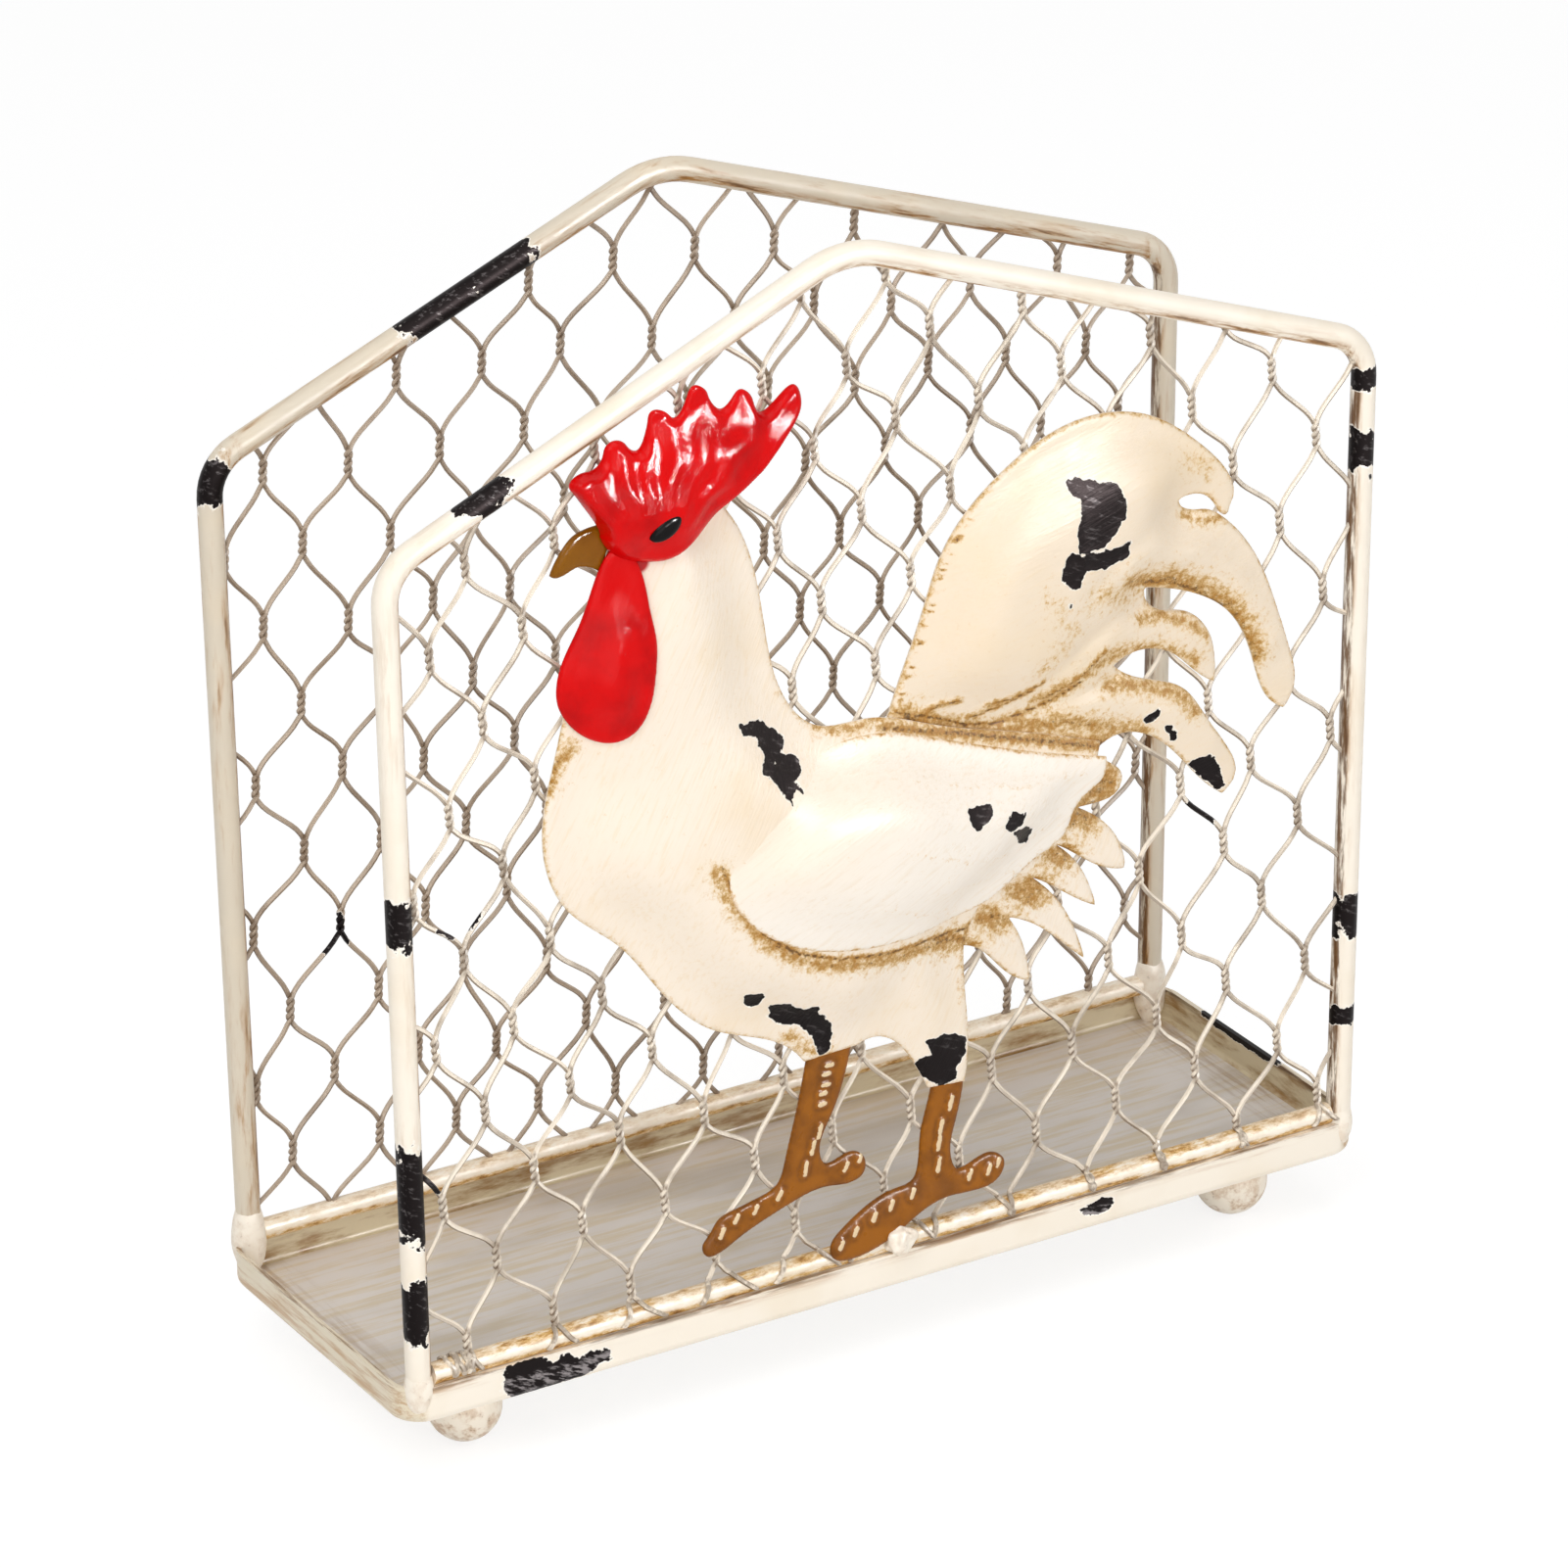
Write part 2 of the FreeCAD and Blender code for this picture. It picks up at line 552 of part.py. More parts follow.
def make_parts():
    """Every piece of the holder by name, with the hoops placed evenly about the origin."""
    parts = {"base_tray": make_tray()}
    for row, side_y in (("front", -1), ("rear", 1)):
        for end, side_x in (("left", -1), ("right", 1)):
            parts["foot_%s_%s" % (row, end)] = make_foot(side_x, side_y)
    welds = []
    front_lattice = (front_net_start_x, front_net_start_height, front_net_tilt)
    rear_lattice = (rear_net_start_x, rear_net_start_height, rear_net_tilt)
    for row, y, shoulder_height, ridge_height, lattice in (
            ("front", -hoop_y, front_shoulder_height, front_ridge_height, front_lattice),
            ("rear", hoop_y, rear_shoulder_height, rear_ridge_height, rear_lattice)):
        hoop = make_hoop(y, shoulder_height, ridge_height)
        rail = make_rail(y)
        parts[row + "_hoop"] = hoop
        parts[row + "_rail"] = rail
        parts[row + "_netting"] = make_netting(y, shoulder_height, ridge_height, lattice)
        welds.extend(make_corner_weld(side_x, y, hoop, rail) for side_x in (-1, 1))
    parts["corner_welds"] = Part.makeCompound(welds)
    parts["rooster_tail"] = stamped_sheet(tail_wire, lower_level, tail_rise, rooster_sheet)
    parts["rooster_wing_feathers"] = stamped_sheet(wing_feather_wire, lower_level, wing_feather_rise,
                                                   rooster_sheet)
    for end, shares in (("left", left_leg_shares), ("right", right_leg_shares)):
        parts["rooster_%s_leg" % end] = stamped_sheet(outline(shares), lower_level, leg_rise, rooster_sheet)
    parts["rooster_body"] = stamped_sheet(body_wire, body_level, body_rise, rooster_sheet)
    parts["rooster_beak"] = stamped_sheet(beak_wire, body_level, beak_rise, rooster_sheet)
    for name, wire, rise in (("wing", wing_wire, wing_rise), ("comb", comb_wire, comb_rise),
                             ("wattle", wattle_wire, wattle_rise)):
        parts["rooster_" + name] = stamped_sheet(wire, upper_level, over_body(rise), rooster_sheet)
    parts["rooster_eye"] = make_eye()
    parts["toe_weld"] = make_toe_weld(parts["front_rail"], parts["base_tray"])
    return parts


def centred(parts):
    """The pieces moved together so that the whole holder is centred along X and Y."""
    whole = Part.makeCompound(list(parts.values())).optimalBoundingBox(False, False)
    move = FreeCAD.Vector(-whole.Center.x, -whole.Center.y, 0)
    for shape in parts.values():
        shape.translate(move)
    return parts


os.makedirs("parts", exist_ok=True)
for name, shape in centred(make_parts()).items():
    shape.exportStep("parts/%s.step" % name)
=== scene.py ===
import json
import math

import bmesh
import bpy
import numpy as np
from mathutils import Matrix, Vector, kdtree, noise
from mathutils.bvhtree import BVHTree

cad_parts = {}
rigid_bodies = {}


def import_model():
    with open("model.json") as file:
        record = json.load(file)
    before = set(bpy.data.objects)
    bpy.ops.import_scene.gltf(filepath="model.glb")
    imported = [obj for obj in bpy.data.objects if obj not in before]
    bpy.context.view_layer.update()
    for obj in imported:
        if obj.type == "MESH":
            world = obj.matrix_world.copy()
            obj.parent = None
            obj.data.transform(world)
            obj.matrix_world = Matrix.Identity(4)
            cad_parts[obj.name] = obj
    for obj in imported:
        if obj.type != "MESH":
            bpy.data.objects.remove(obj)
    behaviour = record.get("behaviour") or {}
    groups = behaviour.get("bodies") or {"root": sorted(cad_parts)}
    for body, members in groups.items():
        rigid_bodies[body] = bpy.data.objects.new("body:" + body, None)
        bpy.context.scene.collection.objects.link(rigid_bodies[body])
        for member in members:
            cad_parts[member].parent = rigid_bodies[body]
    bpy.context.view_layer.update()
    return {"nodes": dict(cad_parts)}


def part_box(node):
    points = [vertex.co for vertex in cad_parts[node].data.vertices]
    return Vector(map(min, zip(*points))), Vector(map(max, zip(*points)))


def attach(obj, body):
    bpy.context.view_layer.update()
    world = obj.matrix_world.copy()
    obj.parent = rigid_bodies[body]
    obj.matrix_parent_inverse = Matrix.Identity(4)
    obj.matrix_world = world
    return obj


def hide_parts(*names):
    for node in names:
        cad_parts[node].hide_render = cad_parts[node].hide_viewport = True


# Napkin holder of painted wire and stamped sheet metal: the CAD rods, tray and feet get their
# paint here, the netting becomes twisted wire, and the rooster gets its pressed and worn detail.
# Points on the holder are given as (x, z) or (x, y, z) in millimetres of the shared frame.

for leftover in list(bpy.data.objects):
    bpy.data.objects.remove(leftover)
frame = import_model()
MM = 0.001

# Colours as they are seen, 0 to 255
CREAM = (248, 238, 222)
CREAM_SHADE = (232, 214, 184)
# A greyer cream for the rear hoop: painted shade, as it stands behind the netting.
CREAM_REAR_SHADED = (218, 206, 186)
CREAM_ROOSTER = (246, 232, 214)
CREAM_WING = (248, 239, 227)
CREAM_TAIL = (240, 223, 200)
OCHRE_TINT = (240, 219, 188)
WING_TINT = (240, 224, 202)
WASH_TINT = (222, 182, 112)
WASH_GOLD = (174, 120, 44)
DARK_BROWN = (82, 49, 15)
# Pale ring round each chip: a painted highlight on the raised paint edge.
CHIP_EDGE_HIGHLIGHT = (252, 246, 236)
BARE_IRON = (30, 26, 26)
SCRATCHED_IRON = (132, 126, 126)
NET_FRONT = (240, 227, 208)
# The rear netting's colour is darkened: painted shade behind the front net, as well as patina.
NET_REAR_SHADE_AND_PATINA = (188, 170, 150)
NET_BROWN = (100, 74, 46)
TRAY_FLOOR_SHADE_GREY = (220, 212, 204)
TRAY_DARK = (182, 170, 154)
TRAY_BEIGE = (212, 195, 165)
LIP_BEIGE = (214, 200, 168)
LIP_BROWN = (150, 112, 58)
RED_ENAMEL = (214, 2, 4)
RED_DEEP = (182, 0, 3)
LEG_OCHRE = (154, 90, 2)
LEG_DARK = (100, 54, 0)
# Pale paint for the painted highlights on the raised dashes of the legs
LEG_DASH_HIGHLIGHT = (236, 212, 172)
BEAK_BROWN = (136, 86, 14)
EYE_BLACK = (14, 12, 12)

# Specular levels are low, because shiny paint sees white all round it
ROOSTER_SPECULAR = 0.22
ENAMEL_SPECULAR = 0.11
LEG_SPECULAR = 0.2
IRON_ROUGHNESS = 0.46
# How a chip tears: the swing of its edge, the depths where the painted highlight of its edge and bare iron
# begin, the run into iron
ROD_TEAR = (1.2, 0.12, 0.20, 0.04)
WIRE_TEAR = (0.9, 0.20, 0.24, 0.04)
SHEET_TEAR = (1.7, -0.50, -0.28, 0.10)
# Depth that stands for a place far from any chip
NO_CHIP = -3.0


def paint(colour):
    """A seen colour as the linear values that a shader takes."""
    shares = [channel / 255 for channel in colour]
    linear = [s / 12.92 if s <= 0.04045 else ((s + 0.055) / 1.055) ** 2.4 for s in shares]
    return (*linear, 1.0)


class Finish:
    """A painted finish: one surface shader and the nodes that colour it."""

    def __init__(self, name, specular=None):
        self.material = bpy.data.materials.new(name)
        self.material.use_nodes = True
        self.tree = self.material.node_tree
        self.surface = self.tree.nodes["Principled BSDF"]
        self.place = self.add("ShaderNodeTexCoord").outputs["Object"]
        if specular is not None:
            self.surface.inputs["Specular IOR Level"].default_value = specular

    def put(self, socket, value):
        if isinstance(value, bpy.types.NodeSocket):
            self.tree.links.new(value, socket)
        else:
            socket.default_value = value

    def add(self, kind, inputs=None, **settings):
        node = self.tree.nodes.new(kind)
        for key, value in settings.items():
            setattr(node, key, value)
        for key, value in (inputs or {}).items():
            self.put(node.inputs[key], value)
        return node

    def math(self, operation, first, second=0.0):
        return self.add("ShaderNodeMath", {0: first, 1: second}, operation=operation).outputs[0]

    def times(self, first, second):
        return self.math("MULTIPLY", first, second)

    def plus(self, first, second):
        return self.math("ADD", first, second)

    def minus(self, first, second):
        return self.math("SUBTRACT", first, second)

    def most(self, first, second):
        return self.math("MAXIMUM", first, second)

    def vector(self, operation, *inputs, output="Vector"):
        node = self.add("ShaderNodeVectorMath", dict(enumerate(inputs)), operation=operation)
        return node.outputs[output]

    def stretched(self, lengths, turn=(0.0, 0.0, 0.0)):
        """The surface's place for a pattern that is drawn out along an axis and then turned."""
        return self.add("ShaderNodeMapping", {"Vector": self.place, "Rotation": turn, "Scale": lengths},
                        vector_type="TEXTURE").outputs[0]

    def mottle(self, size_mm, detail=3.0, where=None, roughness=0.5):
        """Soft noise with spots of about the given size."""
        return self.add("ShaderNodeTexNoise", {
            "Vector": where or self.place, "Scale": 1 / (size_mm * MM), "Detail": detail,
            "Roughness": roughness}).outputs["Fac"]

    def step(self, value, low, high):
        """Smooth step from zero at low to one at high."""
        return self.add("ShaderNodeMapRange", {
            "Value": value, "From Min": low, "From Max": high}, interpolation_type="SMOOTHSTEP").outputs[0]

    def over(self, amount, below, above, share=None):
        """One colour laid over another by an amount, or by a share of that amount."""
        if share is not None:
            amount = self.times(amount, share)
        node = self.add("ShaderNodeMix", data_type="RGBA")
        for index, value in ((0, amount), (6, below), (7, above)):
            self.put(node.inputs[index], paint(value) if isinstance(value, tuple) else value)
        return node.outputs[2]

    def clouded(self, base, share):
        """Paint with wide, faint clouds of a darker cream."""
        return self.over(self.step(self.mottle(14), 0.45, 0.75), base, CREAM_SHADE, share)

    def between(self, amount, first, second):
        """One number passing into another by an amount."""
        return self.add("ShaderNodeMix", {0: amount, 2: first, 3: second}, data_type="FLOAT").outputs[0]

    def uneven(self, middle, swing, size_mm):
        """Roughness that wanders about a middle value."""
        return self.add("ShaderNodeMapRange", {
            "Value": self.mottle(size_mm), "From Min": 0.3, "From Max": 0.7,
            "To Min": middle - swing, "To Max": middle + swing}).outputs[0]

    def attribute(self, name):
        return self.add("ShaderNodeAttribute", attribute_name=name).outputs["Fac"]

    def part_of(self, socket, axis):
        return self.add("ShaderNodeSeparateXYZ", {0: socket}).outputs[axis]

    def facing(self, axis):
        return self.part_of(self.add("ShaderNodeNewGeometry").outputs["Normal"], axis)

    def spots(self, places):
        """How deep a point lies in the nearest of some oval spots: one in the middle, zero at the rim."""
        deepest = None
        for centre, radii in places:
            offset = self.vector("SUBTRACT", self.place, [c * MM for c in centre])
            share = self.vector("MULTIPLY", offset, [1 / (r * MM) for r in radii])
            depth = self.minus(1.0, self.vector("LENGTH", share, output="Value"))
            deepest = depth if deepest is None else self.most(deepest, depth)
        return deepest

    def chipped(self, colour, depth, ragged_mm, tear, scratched=0.3):
        """Bare iron where a chip is deep enough, with a painted highlight as a pale broken edge of paint
        round it.
        """
        swing, edge_highlight_from, bare_from, bare_run = tear
        ragged = self.minus(self.mottle(ragged_mm, 3.5, roughness=0.55), 0.5)
        torn = self.plus(depth, self.times(ragged, swing))
        colour = self.over(self.step(torn, edge_highlight_from, bare_from), colour, CHIP_EDGE_HIGHLIGHT, 0.8)
        bare = self.step(torn, bare_from, bare_from + bare_run)
        scratches = self.mottle(0.7, 4.0, self.stretched((4.0, 1.0, 1.0), (0.0, 0.4, 0.0)), 0.65)
        scratches = self.plus(scratches, self.times(scratched, 0.12))
        iron = self.over(self.step(scratches, 0.57, 0.72), BARE_IRON, SCRATCHED_IRON, scratched)
        return self.over(bare, colour, iron), bare

    def bump(self, height, depth_mm, strength):
        return self.add("ShaderNodeBump", {
            "Height": height, "Distance": depth_mm * MM, "Strength": strength}).outputs[0]

    def done(self, colour, normal, roughness, bare=None):
        self.put(self.surface.inputs["Base Color"], colour)
        self.put(self.surface.inputs["Normal"], normal)
        if bare is not None:
            self.put(self.surface.inputs["Metallic"], bare)
            roughness = self.between(bare, roughness, IRON_ROUGHNESS)
        self.put(self.surface.inputs["Roughness"], roughness)
        return self.material


def hoop_streaks(finish, size_mm):
    """Noise drawn out along a hoop's rod: upright at its ends, sloping along its top."""
    x = finish.part_of(finish.place, 0)
    upright, left_slope, right_slope = [
        finish.mottle(size_mm, 5.0, finish.stretched((1.0, 1.0, 9.0), (0.0, turn, 0.0)), 0.65)
        for turn in (0.0, 1.16, 1.92)]
    top = finish.between(finish.step(x, -10 * MM, -5 * MM), left_slope, right_slope)
    return finish.between(finish.step(finish.math("ABSOLUTE", x), 80 * MM, 84 * MM), top, upright)


def hoop_paint(name, base, chips, age):
    """Cream paint on a hoop: brown rubbed in streaks along its sides, brown on its undersides that is partly
    patina and partly painted shade, black iron where it has chipped.
    """
    finish = Finish(name)
    colour = finish.clouded(base, 0.4)
    streaks = hoop_streaks(finish, 1.1)
    broad = finish.step(hoop_streaks(finish, 4.0), 0.46, 0.66)
    inward = finish.times(finish.facing(0), finish.math("SIGN", finish.part_of(finish.place, 0)))
    inner = finish.step(inward, -0.45, -0.9)
    # Painted shade: the undersides of the rod are browned where they face down, away from the light.
    underside_shade = finish.step(finish.facing(2), 0.0, -0.7)
    wear_and_painted_light = finish.times(finish.most(inner, underside_shade), 0.9)
    wear_and_painted_light = finish.plus(wear_and_painted_light, finish.times(broad, age))
    colour = finish.over(wear_and_painted_light, colour, WASH_GOLD, finish.step(streaks, 0.42, 0.60))
    # Deep brown in the streaks, over the wear and over the painted shade of the undersides.
    deep = finish.times(finish.step(wear_and_painted_light, 0.35, 0.9), finish.step(streaks, 0.54, 0.64))
    colour = finish.over(deep, colour, DARK_BROWN, 0.75)
    line = finish.times(finish.step(inward, -0.68, -0.84), finish.step(streaks, 0.38, 0.52))
    colour = finish.over(line, colour, DARK_BROWN, 0.8)
    colour, bare = finish.chipped(colour, finish.spots(chips), 2.6, ROD_TEAR)
    height = finish.minus(finish.mottle(1.6, 4.0), finish.times(bare, 1.2))
    return finish.done(colour, finish.bump(height, 0.10, 0.45), finish.uneven(0.42, 0.12, 3.0), bare)


def rail_paint(name, golden):
    """Cream rod streaked with gold along its top, and painted shade in brown underneath, where it meets the
    lip.
    """
    finish = Finish(name)
    colour = finish.clouded(CREAM, 0.6)
    streaks = finish.mottle(1.1, 8.0, finish.stretched((3.0, 1.0, 1.0)), 0.78)
    patches = finish.step(finish.mottle(7.0, 3.0), 0.40, 0.60)
    top = finish.times(finish.step(finish.facing(2), 0.30, 0.80), golden)
    patchy_mark = finish.times(top, finish.between(patches, 0.5, 1.0))
    # Painted shade: brown on the underside of the rod, where it sits over the lip.
    underside_shade = finish.step(finish.facing(2), 0.10, -0.40)
    wear_and_painted_light = finish.plus(finish.most(patchy_mark, underside_shade), 0.10)
    colour = finish.over(wear_and_painted_light, colour, WASH_TINT, finish.step(streaks, 0.36, 0.52))
    colour = finish.over(wear_and_painted_light, colour, WASH_GOLD, finish.step(streaks, 0.47, 0.60))
    # Darkest brown in the streaks of the painted shade underneath and of the gold on top.
    deep = finish.most(underside_shade, finish.times(patchy_mark, 0.6))
    deep = finish.times(deep, finish.step(streaks, 0.55, 0.65))
    colour = finish.over(deep, colour, DARK_BROWN, 0.85)
    grain = finish.bump(finish.mottle(1.2, 5.0), 0.14, 0.5)
    return finish.done(colour, grain, finish.uneven(0.45, 0.12, 3.0))


def mottled_paint(name, golden, dark):
    """Cream paint on a small solid with gold dabbed over it, laid on more thickly underneath as painted
    shade.
    """
    finish = Finish(name)
    dabs = finish.mottle(2.4, 5.0, roughness=0.65)
    # Painted shade: the gold lies thicker where the surface faces down.
    underside_shade = finish.step(finish.facing(2), 0.3, -0.8)
    amount = finish.between(underside_shade, golden * 0.6, golden)
    colour = finish.over(amount, CREAM, WASH_GOLD, finish.step(dabs, 0.42, 0.64))
    specks = finish.step(finish.mottle(1.2, 5.0, roughness=0.7), 0.60, 0.70)
    colour = finish.over(specks, colour, DARK_BROWN, dark)
    lumps = finish.bump(finish.mottle(1.3, 4.0), 0.12, 0.5)
    return finish.done(colour, lumps, finish.uneven(0.42, 0.12, 2.0))


def netting_paint(name, base, patchy, darker, chips):
    """Paint on thin wire, worn back to brown in the twists, and brown along the undersides as painted shade.
    """
    finish = Finish(name)
    patches = finish.step(finish.mottle(7.0, 4.0), 0.45, 0.70)
    colour = finish.over(patches, base, NET_BROWN, patchy)
    # Painted shade: the undersides of the wires turn brown, by the share given as darker.
    underside_shade = finish.step(finish.facing(2), 0.15, -0.55)
    colour = finish.over(underside_shade, colour, NET_BROWN, darker)
    grain = finish.step(finish.mottle(1.0, 3.0), 0.30, 0.60)
    groove = finish.times(finish.attribute("wash"), grain)
    colour = finish.over(groove, colour, NET_BROWN, 0.85)
    colour, bare = finish.chipped(colour, finish.spots(chips), 2.0, WIRE_TEAR)
    grit = finish.bump(finish.mottle(0.8, 3.0), 0.06, 0.5)
    return finish.done(colour, grit, finish.uneven(0.48, 0.10, 2.0), bare)


def rooster_paint(name, base, tint, brush_turn):
    """Brushed cream paint with golden brown wash in the hollows and black iron in the chips."""
    finish = Finish(name, ROOSTER_SPECULAR)
    strokes = finish.mottle(0.55, 5.0, finish.stretched((1.0, 1.0, 12.0), (0.0, brush_turn, 0.0)), 0.6)
    clouds = finish.mottle(18.0, 3.0)
    colour = finish.over(finish.step(clouds, 0.46, 0.76), base, tint, 0.7)
    colour = finish.over(finish.attribute("pale"), colour, CREAM_WING)
    colour = finish.over(finish.step(strokes, 0.48, 0.72), colour, tint, 0.55)
    wash = finish.attribute("wash")
    grain = finish.mottle(1.1, 8.0, roughness=0.80)
    flecks = finish.times(finish.minus(grain, 0.5), 2.6)
    broken = finish.minus(wash, flecks)
    colour = finish.over(finish.step(broken, 0.20, 0.75), colour, WASH_TINT, 0.95)
    stain = finish.step(broken, 0.48, 0.98)
    colour = finish.over(stain, colour, WASH_GOLD, 0.92)
    deep = finish.step(finish.minus(wash, finish.mottle(0.8, 6.0, roughness=0.75)), 0.30, 0.44)
    colour = finish.over(deep, colour, DARK_BROWN, 0.8)
    colour = finish.over(finish.step(finish.attribute("red"), 0.4, 0.6), colour, RED_DEEP)
    colour, bare = finish.chipped(colour, finish.attribute("chip"), 1.6, SHEET_TEAR, 0.15)
    height = finish.minus(finish.times(strokes, 0.7), bare)
    height = finish.minus(height, finish.times(finish.times(stain, grain), 0.8))
    return finish.done(colour, finish.bump(height, 0.22, 0.7), finish.uneven(0.40, 0.08, 4.0), bare)


def enamel(name, base, deep, stroke_turn, roughness, depth):
    """Glossy brushed enamel whose strokes break up its shine."""
    finish = Finish(name, ENAMEL_SPECULAR)
    strokes = finish.mottle(0.8, 5.0, finish.stretched((1.0, 1.0, 8.0), (0.0, stroke_turn, 0.0)), 0.65)
    clouds = finish.mottle(7.0, 3.0)
    colour = finish.over(finish.step(clouds, 0.40, 0.75), base, deep)
    pits = finish.mottle(0.6, 2.0)
    colour = finish.over(finish.step(pits, 0.66, 0.8), colour, deep, 0.4)
    height = finish.plus(strokes, finish.times(pits, 0.4))
    return finish.done(colour, finish.bump(height, depth, 0.8), finish.uneven(roughness, 0.03, 3.0))


def leg_paint(name):
    """Ochre paint, darker in its hollows and along its edges, with painted highlights in pale paint on its
    raised dashes.
    """
    finish = Finish(name, LEG_SPECULAR)
    clouds = finish.step(finish.mottle(5.0, 5.0), 0.40, 0.72)
    colour = finish.over(clouds, LEG_OCHRE, LEG_DARK, 0.6)
    wash = finish.times(finish.attribute("wash"), finish.step(finish.mottle(1.2, 5.0), 0.25, 0.65))
    colour = finish.over(wash, colour, LEG_DARK, 0.85)
    # Painted highlight: pale paint on the tops of the raised dashes.
    patchy_mark = finish.minus(finish.attribute("wear_and_painted_light"), finish.mottle(0.8, 4.0))
    colour = finish.over(finish.step(patchy_mark, 0.02, 0.20), colour, LEG_DASH_HIGHLIGHT, 0.9)
    grain = finish.bump(finish.mottle(0.7, 4.0), 0.10, 0.6)
    return finish.done(colour, grain, finish.uneven(0.32, 0.06, 2.0))


def tray_paint(name, chips):
    """Cream outside, beige and brown up the inner lips, and a floor greyed as painted shade, with streaks
    along its length.
    """
    finish = Finish(name)
    low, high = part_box("base_tray")
    normal = finish.add("ShaderNodeNewGeometry").outputs["Normal"]
    along = finish.mottle(1.6, 6.0, finish.stretched((14.0, 1.0, 1.0)), 0.65)
    across = finish.mottle(1.2, 6.0, finish.stretched((1.0, 16.0, 1.0)), 0.7)
    rise = finish.part_of(finish.place, 2)
    sideways = finish.math("ABSOLUTE", finish.part_of(finish.place, 0))

    def from_top(start_mm, end_mm):
        """Smooth step between two distances below the top of the lips."""
        return finish.step(rise, high.z - start_mm * MM, high.z - end_mm * MM)

    def from_end(start_mm, end_mm):
        """Smooth step between two distances in from the ends of the tray."""
        return finish.step(sideways, high.x - start_mm * MM, high.x - end_mm * MM)

    ends = from_end(4.5, 3.0)
    streaks = finish.between(ends, along, across)
    broad = finish.mottle(14.0, 3.0, finish.stretched((3.0, 1.0, 1.0)))
    # Painted shade: the floor inside the lips is a greyed cream, with beige streaks along it.
    floor = finish.over(finish.step(along, 0.44, 0.62), TRAY_FLOOR_SHADE_GREY, TRAY_BEIGE, 0.8)
    floor = finish.over(finish.step(broad, 0.45, 0.72), floor, TRAY_DARK, 0.6)
    front_edge = finish.step(finish.part_of(finish.place, 1), low.y + 18 * MM, low.y + 5 * MM)
    front_grime = finish.times(front_edge, finish.step(along, 0.44, 0.62))
    end_grime = finish.times(from_end(12, 3), finish.step(across, 0.44, 0.62))
    floor = finish.over(finish.most(front_grime, end_grime), floor, LIP_BROWN, 0.55)
    outside = finish.over(ends, finish.clouded(CREAM, 0.3), LIP_BEIGE, 0.55)
    patches = finish.step(finish.mottle(20.0, 2.0), 0.42, 0.62)
    top_dirt = finish.times(from_top(2.2, 0.2), finish.between(patches, 0.25, 0.85))
    dirt = finish.most(top_dirt, finish.times(ends, 0.7))
    dirt = finish.times(dirt, finish.step(streaks, 0.44, 0.62))
    outside = finish.over(dirt, outside, WASH_GOLD, 0.85)
    rim = finish.times(from_top(0.9, 0.1), finish.step(streaks, 0.46, 0.60))
    outside = finish.over(rim, outside, DARK_BROWN, 0.6)
    outward = finish.vector("SUBTRACT", finish.place, (low + high) / 2)
    towards = finish.vector("DOT_PRODUCT", normal, outward, output="Value")
    inner_wall = finish.step(towards, -4.0 * MM, -9.0 * MM)
    on_floor = finish.times(finish.step(finish.part_of(normal, 2), 0.5, 0.7), from_top(1.0, 1.5))
    patchy = finish.mottle(3.5, 6.0, finish.stretched((5.0, 5.0, 1.0)), 0.65)
    lip = finish.over(finish.step(patchy, 0.44, 0.66), LIP_BEIGE, LIP_BROWN)
    # Painted shadow: a dark line just under the top of the inner lips.
    lip_shadow_line = finish.times(from_top(1.5, 0.3), finish.step(streaks, 0.3, 0.6))
    lip = finish.over(lip_shadow_line, lip, DARK_BROWN)
    inside = finish.over(inner_wall, floor, lip)
    colour = finish.over(finish.most(inner_wall, on_floor), outside, inside)
    colour, bare = finish.chipped(colour, finish.spots(chips), 2.6, ROD_TEAR, from_top(1.4, 3.0))
    height = finish.minus(finish.mottle(1.8, 4.0), finish.times(bare, 1.2))
    return finish.done(colour, finish.bump(height, 0.10, 0.45), finish.uneven(0.45, 0.12, 5.0), bare)


def middle_depth(node):
    """Middle of a CAD node from front to back, in millimetres."""
    low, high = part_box(node)
    return (low.y + high.y) / 2 / MM


front_mid = middle_depth("front_hoop")
rear_mid = middle_depth("rear_hoop")
tray_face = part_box("base_tray")[0].y / MM

# Oval chips on the rods, the tray and the nets: the middle and the radii of each
front_hoop_chips = (
    ((-70.4, front_mid, 161.2), (6.2, 4.2, 5.0)),
    ((-86.2, front_mid, 96.0), (4.6, 4.6, 5.6)),
    ((-85.6, front_mid, 51.0), (5.4, 5.4, 11.2)),
    ((-85.2, front_mid, 31.7), (5.0, 5.0, 6.8)),
    ((86.7, front_mid, 147.0), (4.0, 4.0, 2.9)),
    ((86.5, front_mid, 134.5), (4.4, 4.4, 5.4)),
    ((85.5, front_mid, 55.0), (4.4, 4.4, 5.6)),
    ((85.3, front_mid, 37.0), (3.6, 3.6, 2.6)),
)
rear_hoop_chips = (
    ((-49.0, rear_mid, 166.0), (6.0, 4.4, 5.6)),
    ((-43.5, rear_mid, 168.3), (6.0, 4.4, 5.6)),
    ((-38.0, rear_mid, 170.6), (6.0, 4.4, 5.6)),
    ((-33.5, rear_mid, 172.5), (5.0, 4.0, 5.0)),
    ((-86.8, rear_mid, 148.0), (4.4, 4.4, 5.6)),
)
tray_chips = (
    ((-66.5, tray_face - 0.2, 14.4), (6.5, 1.3, 5.2)),
    ((-60.0, tray_face - 0.2, 14.0), (8.5, 1.3, 3.6)),
    ((37.5, tray_face - 0.2, 15.6), (4.0, 1.3, 1.9)),
    ((88.0, 10.0, 17.6), (1.2, 15.0, 1.2)),
)
